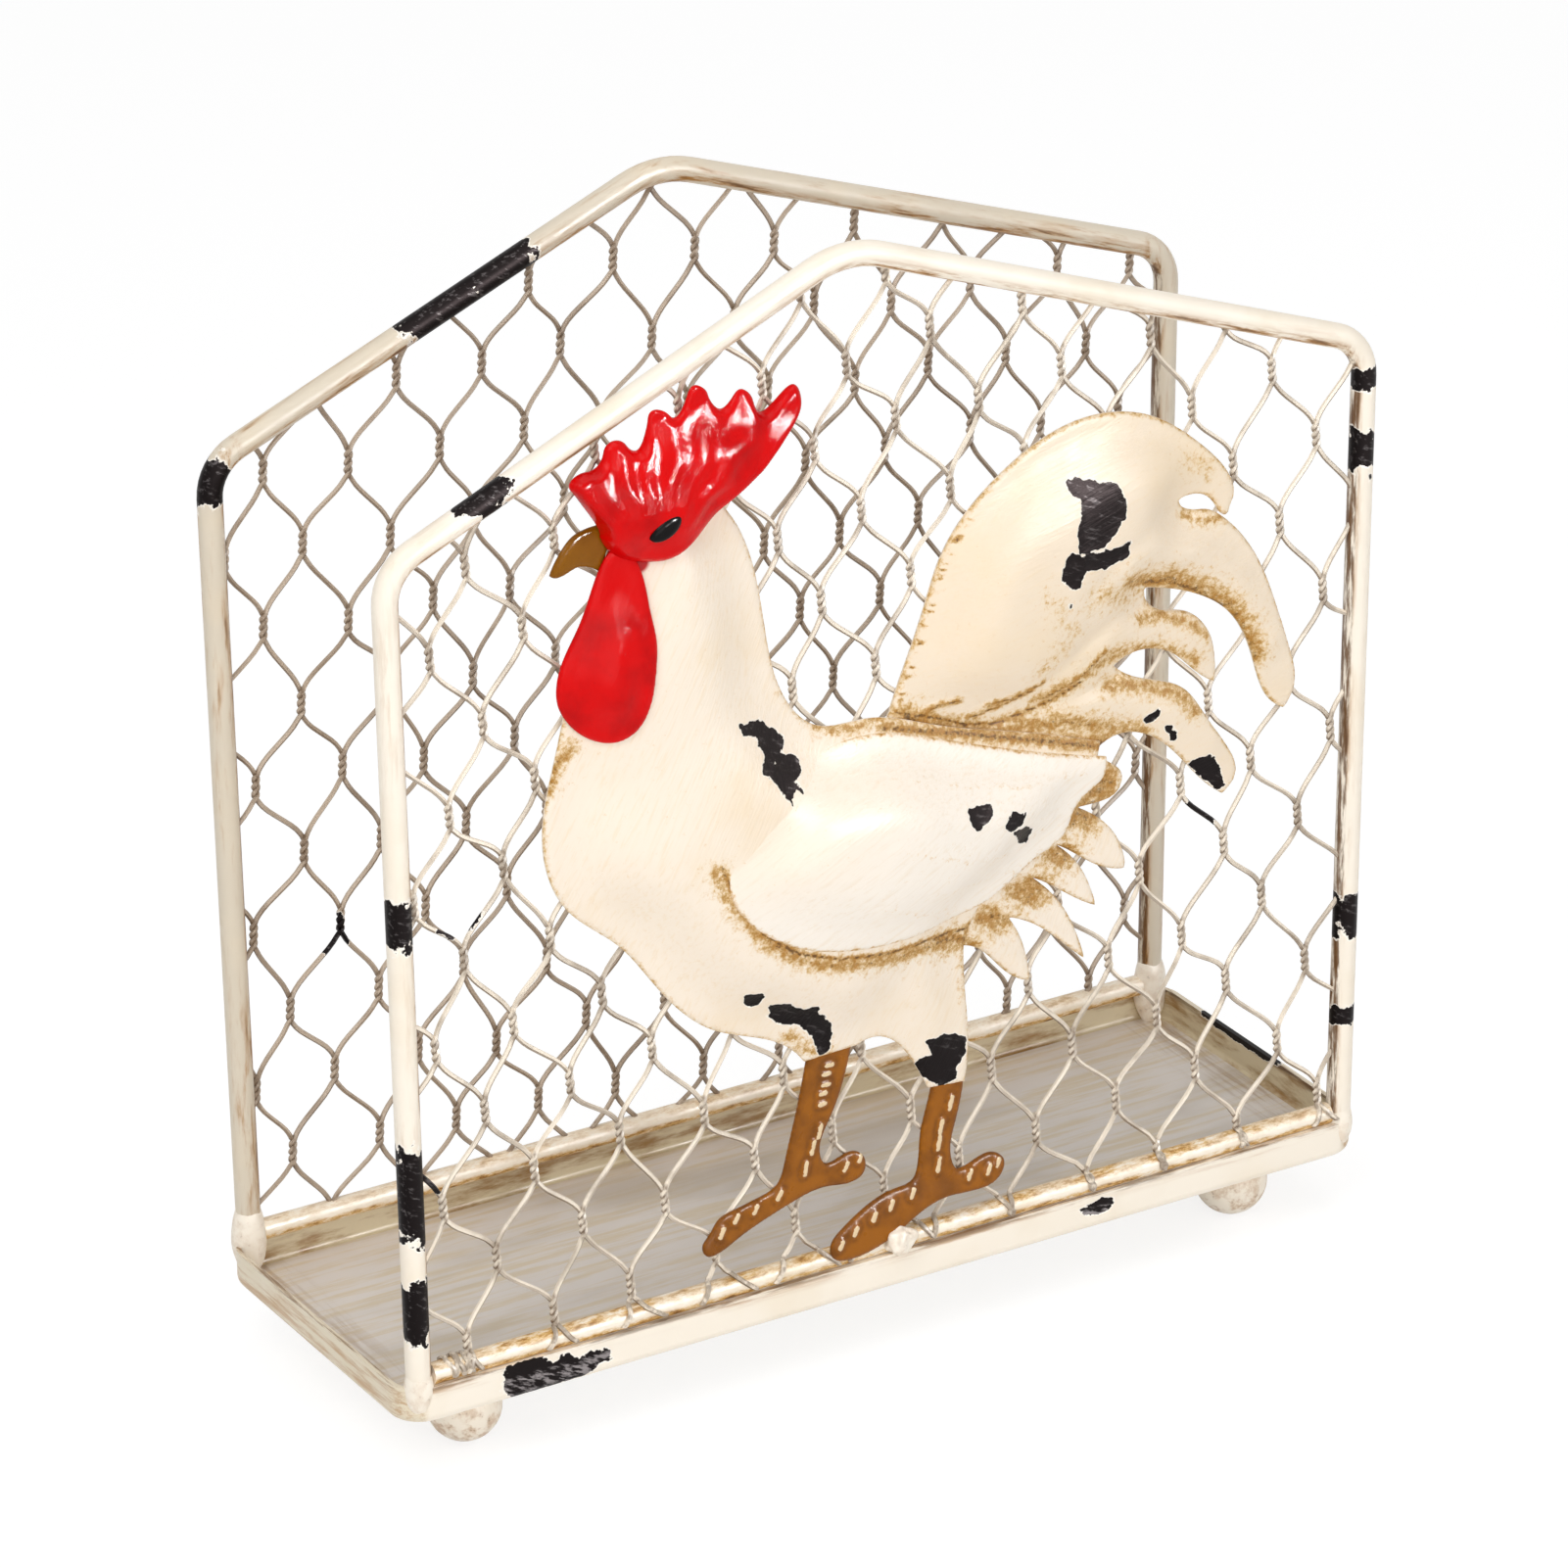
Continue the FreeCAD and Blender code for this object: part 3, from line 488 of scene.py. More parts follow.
front_net_chips = (
    ((-76.0, front_mid, 94.0), (5.0, 2.0, 3.4)),
    ((-68.0, front_mid, 91.0), (2.4, 2.0, 3.6)),
    ((-82.0, front_mid, 52.5), (3.6, 2.0, 4.4)),
    ((56.8, front_mid, 78.8), (5.4, 2.0, 5.2)),
)
rear_net_chips = (
    ((-68.0, rear_mid, 66.0), (3.0, 2.0, 6.0)),
)
finishes = {
    "base_tray": tray_paint("tray_paint", tray_chips),
    "front_hoop": hoop_paint("front_hoop_paint", CREAM, front_hoop_chips, 0.22),
    "rear_hoop": hoop_paint("rear_hoop_paint", CREAM_REAR_SHADED, rear_hoop_chips, 0.7),
    "front_rail": rail_paint("front_rail_paint", 0.9),
    "rear_rail": rail_paint("rear_rail_paint", 0.35),
}
foot_paint = mottled_paint("foot_paint", 0.7, 0.45)
weld_paint = mottled_paint("weld_paint", 0.3, 0.3)
for corner in ("front_left", "front_right", "rear_left", "rear_right"):
    finishes["foot_" + corner] = foot_paint
for node, material in finishes.items():
    frame["nodes"][node].data.materials.clear()
    frame["nodes"][node].data.materials.append(material)


SHARP_ANGLE = math.radians(50)


def add_piece(name, shape, material, nodes):
    """A finished mesh as one piece of the object, standing for the CAD nodes that it replaces."""
    mesh = bpy.data.meshes.new(name)
    shape.to_mesh(mesh)
    shape.free()
    mesh.polygons.foreach_set("use_smooth", [True] * len(mesh.polygons))
    mesh.set_sharp_from_angle(angle=SHARP_ANGLE)
    mesh.materials.append(material)
    piece = bpy.data.objects.new(name, mesh)
    bpy.context.scene.collection.objects.link(piece)
    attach(piece, "root")
    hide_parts(*nodes)


# Weld beads: the middle on the right side of the holder, the radii and the lumpiness of each corner's
corner_beads = (
    ((85.0, front_mid, 17.2), (2.35, 2.3, 4.6), 0.05),
    ((85.1, rear_mid, 18.6), (2.8, 2.7, 6.8), 0.06),
)
toe_fit_share = 0.97
toe_lumps = 0.35
lump_spread = 1.7
lump_shift = 0.37


def weld_bead(shape, centre, radii, lumps):
    """A smooth, slightly lumpy bead of weld under paint, added to a shape."""
    made = bmesh.ops.create_icosphere(shape, subdivisions=4, radius=1.0)["verts"]
    for vert in made:
        swell = 1 + lumps * noise.noise(vert.co * lump_spread + Vector(centre) * lump_shift)
        vert.co = Vector([(c + r * swell * share) * MM for c, r, share in zip(centre, radii, vert.co)])


corners = bmesh.new()
for side in (-1, 1):
    for (x, y, z), radii, lumps in corner_beads:
        weld_bead(corners, (side * x, y, z), radii, lumps)
add_piece("corner_weld_beads", corners, weld_paint, ("corner_welds",))
toe_low, toe_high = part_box("toe_weld")
toe_middle = (toe_low + toe_high) / 2 / MM
toe_reach = (toe_high - toe_low) / 2 / MM
toe = bmesh.new()
weld_bead(toe, toe_middle, toe_reach * toe_fit_share, toe_lumps)
add_piece("toe_weld_bead", toe, weld_paint, ("toe_weld",))


# Hexagonal netting of twisted wire, each net hung a little askew
net_pitch = 14.9
net_row = 12.8
net_twist = 5.0
net_rows = range(-2, 15)
net_columns = range(-2, 14)
net_cut_gap = 1e-6
# Wander of hand-stretched wire: two waves over the net, and a pull on each twist
net_sway = 0.6
sway_long = 67.0
sway_short = 41.0
net_pull = 0.45
strand_radius = 0.42
twist_radius = 0.38
twist_depth = 0.29
twist_turns = 2
twist_steps = 6 * twist_turns
# Rise of a wire over the straight line between two twists, at shares of its length
wire_bows = ((0.16, 0.45), (0.5, 0.0), (0.84, -0.45))
# Brown wash: half width of a twist's groove, the share of the twist that it fills, and wash at the rail
groove_width = 0.6
groove_share = 0.6
rail_wash_rise = 1.0
rail_wash = 0.7
rail_low, rail_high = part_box("front_rail")
rail_middle = (rail_low.z + rail_high.z) / 2 / MM
rail_radius = (rail_high.z - rail_low.z) / 2 / MM
# The front wires pass round the rail: how far from its middle, from where, how finely and how low
rail_wrap = rail_radius + strand_radius * 0.7
rail_near = 5.0
rail_step = 0.5
front_wire_drop = 0.5
wound_steps = 8
# First twist along the net and up it, and the turn of the net in degrees
hung = {"front": (-76.2, 9.8, 5.0), "rear": (-77.5, 7.6, -3.5)}
# Corners of the line inside each hoop's rod at which the wires end
hoop_corners = {
    "front": ((-85.0, 17.8), (-86.7, 152.7), (-7.7, 187.2), (86.7, 152.7), (85.0, 17.8)),
    "rear": ((-85.0, 17.8), (-86.7, 150.3), (-7.7, 183.1), (86.7, 150.3), (85.0, 17.8)),
}


def twist_place(side, column, row):
    """Middle of a twist along and up its net, with the sway of hand-stretched wire."""
    first_x, first_z = hung[side][:2]
    x = first_x + net_pitch * (column + (row % 2) / 2)
    z = first_z + net_row * row
    sway_x = math.sin(math.tau * (x / sway_long + z / sway_short))
    sway_z = math.sin(math.tau * (x / sway_short - z / sway_long))
    pull_x = net_pull * math.sin(2.7 * column + 5.3 * row)
    pull_z = net_pull * math.sin(4.1 * column - 3.7 * row)
    return x + net_sway * sway_x + pull_x, z + net_sway * sway_z + pull_z


def turned(side, x, z):
    """A place on a net as it hangs: turned about the middle of the rail."""
    turn = math.radians(hung[side][2])
    return x * math.cos(turn) - z * math.sin(turn), rail_middle + x * math.sin(turn) + z * math.cos(turn)


def strand_points(side, column, hand):
    """Line of one wire that winds with a neighbour on its right and on its left in turn: along, out, up."""
    points = []
    for row in net_rows:
        odd = row % 2
        way = -hand if odd else hand
        x, z = twist_place(side, column - (1 if hand < 0 and odd else 0), row)
        for step in range(twist_steps + 1):
            share = step / twist_steps
            angle = math.tau * twist_turns * share
            points.append((x + way * twist_radius * math.cos(angle), way * twist_depth * math.sin(angle),
                           z + net_twist * (share - 0.5)))
        next_x, next_z = twist_place(side, column - (0 if odd or hand > 0 else 1), row + 1)
        start = points[-1]
        end = (next_x - way * twist_radius, 0.0, next_z - net_twist / 2)
        for share, bow in wire_bows:
            points.append((start[0] + (end[0] - start[0]) * share, 0.0,
                           start[2] + (end[2] - start[2]) * share + bow))
    return points


def eased(line):
    """The same line with more points where it nears the rail."""
    close = []
    for start, end in zip(line, line[1:]):
        low, high = sorted((start[2], end[2]))
        near = low < rail_middle + rail_near and high > rail_middle - rail_near
        count = max(1, math.ceil(math.dist(start, end) / rail_step)) if near else 1
        for index in range(count):
            share = index / count
            close.append(tuple(a + (b - a) * share for a, b in zip(start, end)))
    return close + [line[-1]]


def over_rail(x, y, z, mid):
    """A point of a wire, brought round the front of the rail where it comes down to it."""
    drop = z - rail_middle
    if abs(drop) < rail_wrap:
        y = min(y, mid - math.sqrt(rail_wrap * rail_wrap - drop * drop))
    return x, y, z


def wound_end(start_x, turns, spacing, wander):
    """A loose wire end wound round the front rail."""
    points = []
    for step in range(int(turns * wound_steps) + 1):
        angle = math.tau * step / wound_steps + wander
        reach = rail_radius + strand_radius * (0.9 + 0.5 * math.sin(step * 1.7 + wander))
        points.append((start_x + spacing * step / wound_steps + 0.5 * math.sin(step * 2.3 + wander),
                       front_mid + reach * math.cos(angle), rail_middle + reach * math.sin(angle)))
    return points


def wire_line(curve, points):
    """One wire of a net as a smooth spline."""
    spline = curve.splines.new("NURBS")
    spline.points.add(len(points) - 1)
    for point, place in zip(spline.points, points):
        point.co = (*(c * MM for c in place), 1.0)
    spline.order_u = 3
    spline.use_endpoint_u = True
    spline.resolution_u = 2


def net_planes(side):
    """Planes that end the wires, inside the hoop's rod and low on the rail: a point and an outward normal."""
    corners = hoop_corners[side]
    planes = [(Vector((ax, 0, az)) * MM, Vector((az - bz, 0, bx - ax)).normalized())
              for (ax, az), (bx, bz) in zip(corners, corners[1:])]
    ends_at = rail_middle - front_wire_drop if side == "front" else rail_middle
    planes.append((Vector((0, 0, ends_at * MM)), Vector((0, 0, -1))))
    return planes


def stain_twists(wires, side):
    """Brown in the grooves of the twists and on the ends at the rail, as a strength on each point."""
    wash = wires.verts.layers.float.new("wash")
    columns = range(net_columns.start, net_columns.stop + 1)
    places = [turned(side, *twist_place(side, column, row)) for column in columns for row in net_rows]
    twists = kdtree.KDTree(len(places))
    for index, (x, z) in enumerate(places):
        twists.insert(Vector((x, 0, z)), index)
    twists.balance()
    for vert in wires.verts:
        x, z = vert.co.x / MM, vert.co.z / MM
        near = twists.find(Vector((x, 0, z)))[0]
        if abs(z - near.z) < net_twist * groove_share:
            vert[wash] = max(0.0, 1.0 - abs(x - near.x) / groove_width)
        if z < rail_middle + rail_radius + rail_wash_rise:
            vert[wash] = max(vert[wash], rail_wash)


def make_netting(name, side, mid, material, loose):
    """All the strands of one netting, cut off at the rods that hold them, with loose ends if any."""
    curve = bpy.data.curves.new(name + "_line", "CURVE")
    curve.dimensions = "3D"
    curve.bevel_depth = strand_radius * MM
    curve.bevel_resolution = 1
    curve.use_fill_caps = True
    for column in net_columns:
        for hand in (-1, 1):
            line = []
            for x, out, z in strand_points(side, column, hand):
                along, up = turned(side, x, z)
                line.append((along, mid + out, up))
            if side == "front":
                line = [over_rail(*point, mid) for point in eased(line)]
            wire_line(curve, line)
    for points in loose:
        wire_line(curve, points)
    drawn = bpy.data.objects.new(name + "_line", curve)
    bpy.context.scene.collection.objects.link(drawn)
    bpy.context.view_layer.update()
    tube = bpy.data.meshes.new_from_object(drawn.evaluated_get(bpy.context.evaluated_depsgraph_get()))
    bpy.data.objects.remove(drawn)
    wires = bmesh.new()
    wires.from_mesh(tube)
    bpy.data.meshes.remove(tube)
    for at, outward in net_planes(side):
        cut = bmesh.ops.bisect_plane(wires, geom=wires.verts[:] + wires.edges[:] + wires.faces[:],
                                     dist=net_cut_gap, plane_co=at, plane_no=outward, clear_outer=True)
        rims = [item for item in cut["geom_cut"] if isinstance(item, bmesh.types.BMEdge)]
        bmesh.ops.holes_fill(wires, edges=rims, sides=0)
    stain_twists(wires, side)
    add_piece(name, wires, material, (side + "_netting",))


make_netting("front_netting_wires", "front", front_mid,
             netting_paint("front_netting_paint", NET_FRONT, 0.45, 0.75, front_net_chips),
             (wound_end(-80.5, 2.6, 1.5, 0.4), wound_end(-77.0, 1.8, -1.9, 2.0)))
make_netting("rear_netting_wires", "rear", rear_mid,
             netting_paint("rear_netting_paint", NET_REAR_SHADE_AND_PATINA, 0.45, 0.7, rear_net_chips), ())


# Stamped sheets of the rooster
merge_gap = 1e-6
grid_cut_gap = 1e-7
# A face whose normal points less far to the front than this is not on the front of its sheet
front_facing = -0.3
# A mark may be this deep before the back of the sheet is pushed out behind it
free_sink = 0.5
chip_sink = 0.12
chip_slope = 0.3


def line_gap(x, z, points, closed=False):
    """Distance of each place from a line through the points."""
    gap = np.full(x.shape, np.inf)
    ends = points[1:] + (points[:1] if closed else ())
    for (ax, az), (bx, bz) in zip(points, ends):
        dx, dz = bx - ax, bz - az
        share = np.clip(((x - ax) * dx + (z - az) * dz) / (dx * dx + dz * dz), 0, 1)
        gap = np.minimum(gap, np.hypot(x - ax - share * dx, z - az - share * dz))
    return gap


def inside_ring(x, z, ring):
    """Which places lie inside a closed outline."""
    odd = np.zeros(x.shape, bool)
    for (ax, az), (bx, bz) in zip(ring, ring[1:] + ring[:1]):
        if az != bz:
            odd ^= ((az > z) != (bz > z)) & (x < ax + (z - az) * (bx - ax) / (bz - az))
    return odd


def ring_depth(x, z, ring):
    """Depth inside a closed outline, negative outside it."""
    gap = line_gap(x, z, ring, True)
    return np.where(inside_ring(x, z, ring), gap, -gap)


def divide(sheet, faces, axis, stations):
    """Faces cut along every station of an axis, halving the list each time."""
    if not stations or not faces:
        return
    middle = len(stations) // 2
    at, normal = Vector(), Vector()
    at[axis] = stations[middle]
    normal[axis] = 1.0
    parts = dict.fromkeys(faces)
    for face in faces:
        parts.update(dict.fromkeys(face.edges))
        parts.update(dict.fromkeys(face.verts))
    cut = bmesh.ops.bisect_plane(sheet, geom=list(parts), dist=grid_cut_gap, plane_co=at, plane_no=normal)
    low, high = [], []
    for item in cut["geom"]:
        if isinstance(item, bmesh.types.BMFace):
            (low if item.calc_center_median()[axis] < stations[middle] else high).append(item)
    divide(sheet, low, axis, stations[:middle])
    divide(sheet, high, axis, stations[middle + 1:])


def fine_front(node, grid):
    """Front of a stamped CAD sheet as a fine grid inside its outline, with the CAD relief in a layer."""
    sheet = bmesh.new()
    sheet.from_mesh(frame["nodes"][node].data)
    bmesh.ops.remove_doubles(sheet, verts=sheet.verts, dist=merge_gap)
    relief = BVHTree.FromBMesh(sheet)
    hidden = [face for face in sheet.faces if face.normal.y > front_facing]
    bmesh.ops.delete(sheet, geom=hidden, context="FACES")
    bmesh.ops.dissolve_faces(sheet, faces=sheet.faces[:])
    level = sheet.verts.layers.float.new("level")
    for vert in sheet.verts:
        vert[level] = vert.co.y
        vert.co.y = 0.0
    low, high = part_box(node)
    for axis in (0, 2):
        count = int((high[axis] - low[axis]) / (grid * MM))
        stations = [low[axis] + (index + 0.5) * grid * MM for index in range(count)]
        divide(sheet, sheet.faces[:], axis, stations)
    for vert in sheet.verts:
        if not vert.is_boundary:
            hit = relief.ray_cast(Vector((vert.co.x, -1.0, vert.co.z)), Vector((0, 1, 0)))[0]
            if hit is not None:
                vert[level] = hit.y
    return sheet


def stamped_piece(name, node, grid, thickness, detail, material, slot):
    """A stamped sheet with its pressed detail, its worn edges and its back."""
    sheet = fine_front(node, grid)
    rim = [vert for vert in sheet.verts if vert.is_boundary]
    edge = kdtree.KDTree(len(rim))
    for index, vert in enumerate(rim):
        edge.insert(vert.co, index)
    edge.balance()
    x = np.array([vert.co.x for vert in sheet.verts]) / MM
    z = np.array([vert.co.z for vert in sheet.verts]) / MM
    depth = np.array([edge.find(vert.co)[2] for vert in sheet.verts]) / MM
    marks = detail(x, z, depth)
    forward = marks.pop("forward")
    moved = marks.pop("moved", np.zeros((2, *x.shape)))
    sunk = np.minimum(forward + free_sink, 0.0)
    for mark in ("back", *marks):
        sheet.verts.layers.float.new(mark)
    level = sheet.verts.layers.float["level"]
    back = sheet.verts.layers.float["back"]
    layers = [(sheet.verts.layers.float[mark], values) for mark, values in marks.items()]
    for index, vert in enumerate(sheet.verts):
        vert[back] = vert[level] + (thickness - sunk[index]) * MM
        vert.co.x += moved[0][index] * MM
        vert.co.y = vert[level] - forward[index] * MM
        vert.co.z += moved[1][index] * MM
        for layer, values in layers:
            vert[layer] = values[index]
    made = bmesh.ops.extrude_face_region(sheet, geom=sheet.faces[:], use_keep_orig=True)["geom"]
    for item in made:
        if isinstance(item, bmesh.types.BMVert):
            item.co.y = item[back]
            for layer, values in layers:
                item[layer] = NO_CHIP if values is marks.get("chip") else 0.0
    bmesh.ops.recalc_face_normals(sheet, faces=sheet.faces)
    for spare in ("level", "back"):
        sheet.verts.layers.float.remove(sheet.verts.layers.float[spare])
    add_piece(name, sheet, material, (node,))


def rolled_rim(depth, width, drop):
    """Fall of a rounded edge below the face of the sheet."""
    share = np.clip(1 - depth / width, 0, 1)
    return drop * (1 - np.sqrt(1 - share * share))


def strokes(x, z, lines):
    """Strength of brown wash from lines of a given half width and strength."""
    total = np.zeros(x.shape)
    for points, width, strength in lines:
        gap = line_gap(x, z, points)
        total = np.maximum(total, strength * np.exp(-np.abs(gap / width) ** 1.4))
    return total


def furrows(x, z, lines):
    """Sum of pressed lines: a positive height stands up and a negative one is a groove."""
    total = np.zeros(x.shape)
    for points, width, height in lines:
        total = total + height * np.exp(-(line_gap(x, z, points) / width) ** 2)
    return total


def chip_depth(x, z, rings):
    """Depth inside the nearest chip, in millimetres, negative outside the chips."""
    depth = np.full(x.shape, NO_CHIP)
    for ring in rings:
        depth = np.maximum(depth, ring_depth(x, z, ring))
    return depth


def sink_chips(forward, x, z, rings):
    """Relief with its chips sunk through the paint, and the depth inside the chips."""
    bare = chip_depth(x, z, rings)
    return forward - chip_sink * np.clip(bare / chip_slope, 0, 1), bare


def edge_fade(depth, width, strength):
    """Strength at the edge of a sheet that fades inwards."""
    return strength * np.exp(-(depth / width) ** 2)


def ramp(value, start, end):
    """Share of the way from start to end, held at zero and one beyond them."""
    return np.clip((value - start) / (end - start), 0, 1)


def smooth(share):
    """A share that eases in and out."""
    return share * share * (3 - 2 * share)


def shifted(points, dx, dz):
    """The points of a line moved along and up."""
    return tuple((px + dx, pz + dz) for px, pz in points)


# Outlines of the chips on the tail, the body and the wing
tail_chips = (
    ((29.0, 143.0), (30.8, 143.1), (33.1, 142.4), (36.7, 141.4), (38.2, 138.9), (37.9, 136.1), (35.7, 133.7),
     (34.3, 132.1), (32.7, 132.1), (29.7, 132.3), (29.7, 135.0), (30.6, 137.7), (30.8, 140.5), (29.3, 141.7)),
    ((26.7, 128.5), (27.4, 131.4), (28.4, 132.2), (30.4, 131.1), (30.6, 129.2), (29.8, 126.5), (28.1, 126.7)),
    ((30.6, 131.1), (34.1, 131.3), (36.8, 131.0), (38.8, 131.7), (39.0, 129.7), (36.8, 129.0), (33.2, 128.5),
     (30.8, 129.2)),
    ((28.1, 123.8), (28.8, 123.5), (28.4, 123.0)),
    ((54.0, 89.3), (57.7, 89.7), (59.6, 86.3), (60.8, 83.7), (59.3, 83.2), (55.5, 87.3)),
    ((45.2, 98.9), (47.6, 100.3), (47.4, 99.2), (45.6, 98.2)),
    ((49.3, 96.6), (50.1, 96.6), (51.4, 93.8), (50.6, 93.5)),
)
body_chips = (
    ((-29.9, 116.8), (-26.0, 116.3), (-21.6, 112.4), (-21.5, 111.1), (-24.1, 109.9), (-25.6, 108.0),
     (-26.7, 109.1), (-25.9, 111.3), (-26.9, 114.1), (-29.5, 115.5)),
    ((-24.8, 108.8), (-22.9, 110.1), (-19.2, 108.5), (-19.1, 107.2), (-21.2, 105.7), (-20.1, 104.2),
     (-20.7, 102.2), (-22.2, 102.7), (-25.0, 107.6)),
    ((-29.3, 71.5), (-26.2, 71.1), (-26.5, 69.5), (-27.5, 68.8), (-28.9, 70.1)),
    ((-24.4, 68.1), (-21.3, 67.7), (-19.1, 66.2), (-16.8, 66.2), (-14.6, 63.0), (-13.3, 61.8), (-12.9, 57.4),
     (-14.2, 56.5), (-15.5, 58.9), (-16.4, 61.3), (-18.7, 63.2), (-21.8, 64.0), (-24.0, 66.3)),
    ((4.9, 53.9), (8.6, 54.2), (11.8, 52.5), (11.8, 49.9), (10.4, 48.1), (10.0, 45.6), (7.9, 45.1),
     (4.9, 47.2), (3.2, 49.6), (3.5, 50.8), (5.8, 51.1)),
)
wing_chips = (
    ((8.6, 94.9), (13.2, 94.2), (12.7, 93.0), (10.9, 91.8), (9.5, 91.7), (8.9, 92.7)),
    ((15.2, 90.6), (17.2, 91.9), (19.6, 91.0), (18.6, 89.6), (16.2, 89.2)),
    ((17.6, 88.3), (20.0, 88.5), (22.4, 86.6), (21.6, 84.6), (20.0, 85.2), (19.2, 86.8)),
)

tail_grooves = (
    ((45.4, 118.3), (39.4, 118.2), (35.0, 115.8), (27.7, 111.1), (21.2, 107.5), (14.8, 105.1)),
    ((40.0, 107.0), (34.1, 106.2), (28.7, 105.5), (21.6, 105.7), (14.8, 105.1), (8.7, 106.5)),
    ((52.7, 132.1), (44.1, 132.6), (38.3, 129.3), (33.1, 124.7)),
)
tail_ridges = (
    ((68.4, 107.4), (61.6, 119.0), (52.1, 125.1), (40.4, 127.0)),
    ((56.5, 110.1), (48.2, 114.1), (39.4, 114.0), (31.7, 111.6)),
    ((57.6, 92.3), (49.1, 99.8), (39.9, 102.5), (30.6, 104.2)),
)
tail_barbs = (
    ((16.0, 108.2), (20.5, 108.6), (25.5, 110.2)),
    ((12.5, 106.4), (19.0, 107.4), (24.0, 109.0)),
    ((3.0, 109.0), (7.0, 110.0), (11.0, 110.2)),
    ((26.0, 107.0), (32.0, 109.5), (37.0, 112.8)),
)
tail_root = ((1.5, 109.4), (6.3, 106.4), (12.7, 102.9), (19.9, 100.2), (27.1, 98.4), (38.5, 96.0))
feather_parting = ((0.0, 110.5), (6.3, 108.3), (12.7, 105.3), (18.2, 104.3), (23.1, 105.0),
                   (27.1, 105.9), (32.7, 108.5))
# Places where gold has stayed on the paint: a line, its half width and its strength
wing_tip_gold = (((36.5, 89.5), (41.0, 91.0)), 3.0, 0.7)
tail_gold = (
    (((40.2, 124.3), (44.7, 122.5), (48.8, 122.1), (54.6, 119.2), (60.4, 115.2),
      (63.8, 110.4), (66.4, 104.5)), 3.0, 0.80),
    (((44.7, 122.0), (49.0, 121.4), (54.6, 118.4), (60.0, 114.4)), 1.2, 0.92),
    (((51.9, 131.6), (56.0, 129.6), (60.1, 129.8)), 1.3, 0.66),
    (((44.0, 116.2), (48.1, 115.8), (53.0, 113.6), (56.4, 110.6)), 1.8, 0.72),
    (((32.7, 109.4), (38.4, 111.0), (43.2, 111.0), (49.0, 109.7), (54.8, 106.5)), 2.1, 0.72),
    (((38.4, 106.2), (45.0, 104.7), (50.7, 102.2), (54.9, 98.2)), 2.4, 0.74),
    (((23.1, 102.4), (31.1, 101.6), (38.5, 99.1), (45.1, 96.4)), 2.4, 0.78),
    (((25.0, 107.0), (30.0, 109.0)), 2.0, 0.66),
    (feather_parting, 1.5, 0.74),
    (feather_parting, 0.6, 1.0),
    (tail_root, 3.0, 0.90),
    (((8.0, 105.5), (18.0, 103.2), (30.0, 102.4)), 2.6, 0.74),
    (tail_root, 0.8, 1.0),
    wing_tip_gold,
    (((25.0, 125.0), (30.0, 118.0), (24.0, 113.0)), 2.8, 0.40),
    (((34.0, 124.0), (40.0, 121.0), (46.0, 121.5)), 3.6, 0.50),
    (((52.0, 141.0), (57.0, 138.0)), 3.0, 0.40),
)
fan_middles = (
    ((20.0, 84.0), (32.0, 82.0), (41.5, 75.0)),
    ((18.0, 82.0), (28.0, 77.0), (36.0, 69.5)),
    ((14.0, 78.0), (24.0, 70.0), (34.0, 61.0)),
    ((12.0, 72.0), (20.0, 65.0), (24.0, 59.5)),
)
fan_root = ((12.0, 69.0), (22.0, 73.0), (28.5, 77.5), (32.5, 83.0), (38.0, 89.0))
wing_lower = ((-35.1, 96.0), (-33.4, 91.6), (-28.8, 84.7), (-22.5, 79.8), (-15.6, 77.0), (-5.4, 74.8),
              (0.7, 74.3), (10.6, 73.2), (20.4, 76.1))
wing_ridges = (
    ((1.9, 82.5), (11.5, 80.6), (21.0, 79.3), (26.4, 82.1)),
    ((-7.5, 82.8), (0.7, 79.1), (9.5, 75.5)),
    ((-5.9, 92.8), (5.6, 87.7), (18.8, 83.2), (26.7, 86.6)),
    ((0.1, 101.3), (11.3, 97.3), (22.8, 94.1), (33.5, 92.9)),
)
body_gold = (
    (((6.0, 71.0), (12.0, 69.5), (17.0, 72.0)), 3.0, 0.85),
    (((-61.3, 112.5), (-59.8, 116.5), (-57.5, 118.8)), 1.6, 0.80),
    (((-17.5, 115.5), (-14.6, 111.9), (-9.0, 110.1), (-2.9, 110.7)), 1.5, 0.70),
    (((-3.0, 109.0), (10.0, 105.0), (24.0, 100.6), (37.0, 96.2)), 1.6, 0.90),
    (((10.0, 73.0), (11.5, 66.0), (12.0, 60.0)), 1.5, 0.50),
    (((-13.5, 57.0), (-17.0, 58.0), (-20.0, 61.0)), 1.8, 0.66),
    wing_tip_gold,
    (((-20.0, 152.0), (-17.0, 143.0), (-14.5, 131.0), (-21.0, 119.0)), 1.0, 0.42),
    # Wash along and below the wing's lower edge, which is also painted shadow of the wing on the body
    (wing_lower[:4], 0.9, 0.9),
    (shifted(wing_lower[2:], 0.8, -1.8), 0.7, 1.0),
    (shifted(wing_lower[:4], -1.2, -0.6), 1.8, 0.72),
    (shifted(wing_lower[2:8], 1.5, -3.2), 2.0, 0.80),
)
wattle_join = ((-52.5, 146.5), (-46.5, 146.8))
comb_root = (-46.0, 146.0)
comb_points = ((-56.5, 161.5), (-49.3, 166.2), (-42.0, 169.6), (-35.3, 172.0), (-27.3, 169.8))
comb_reach = 3.0
neck_reach = 3.0
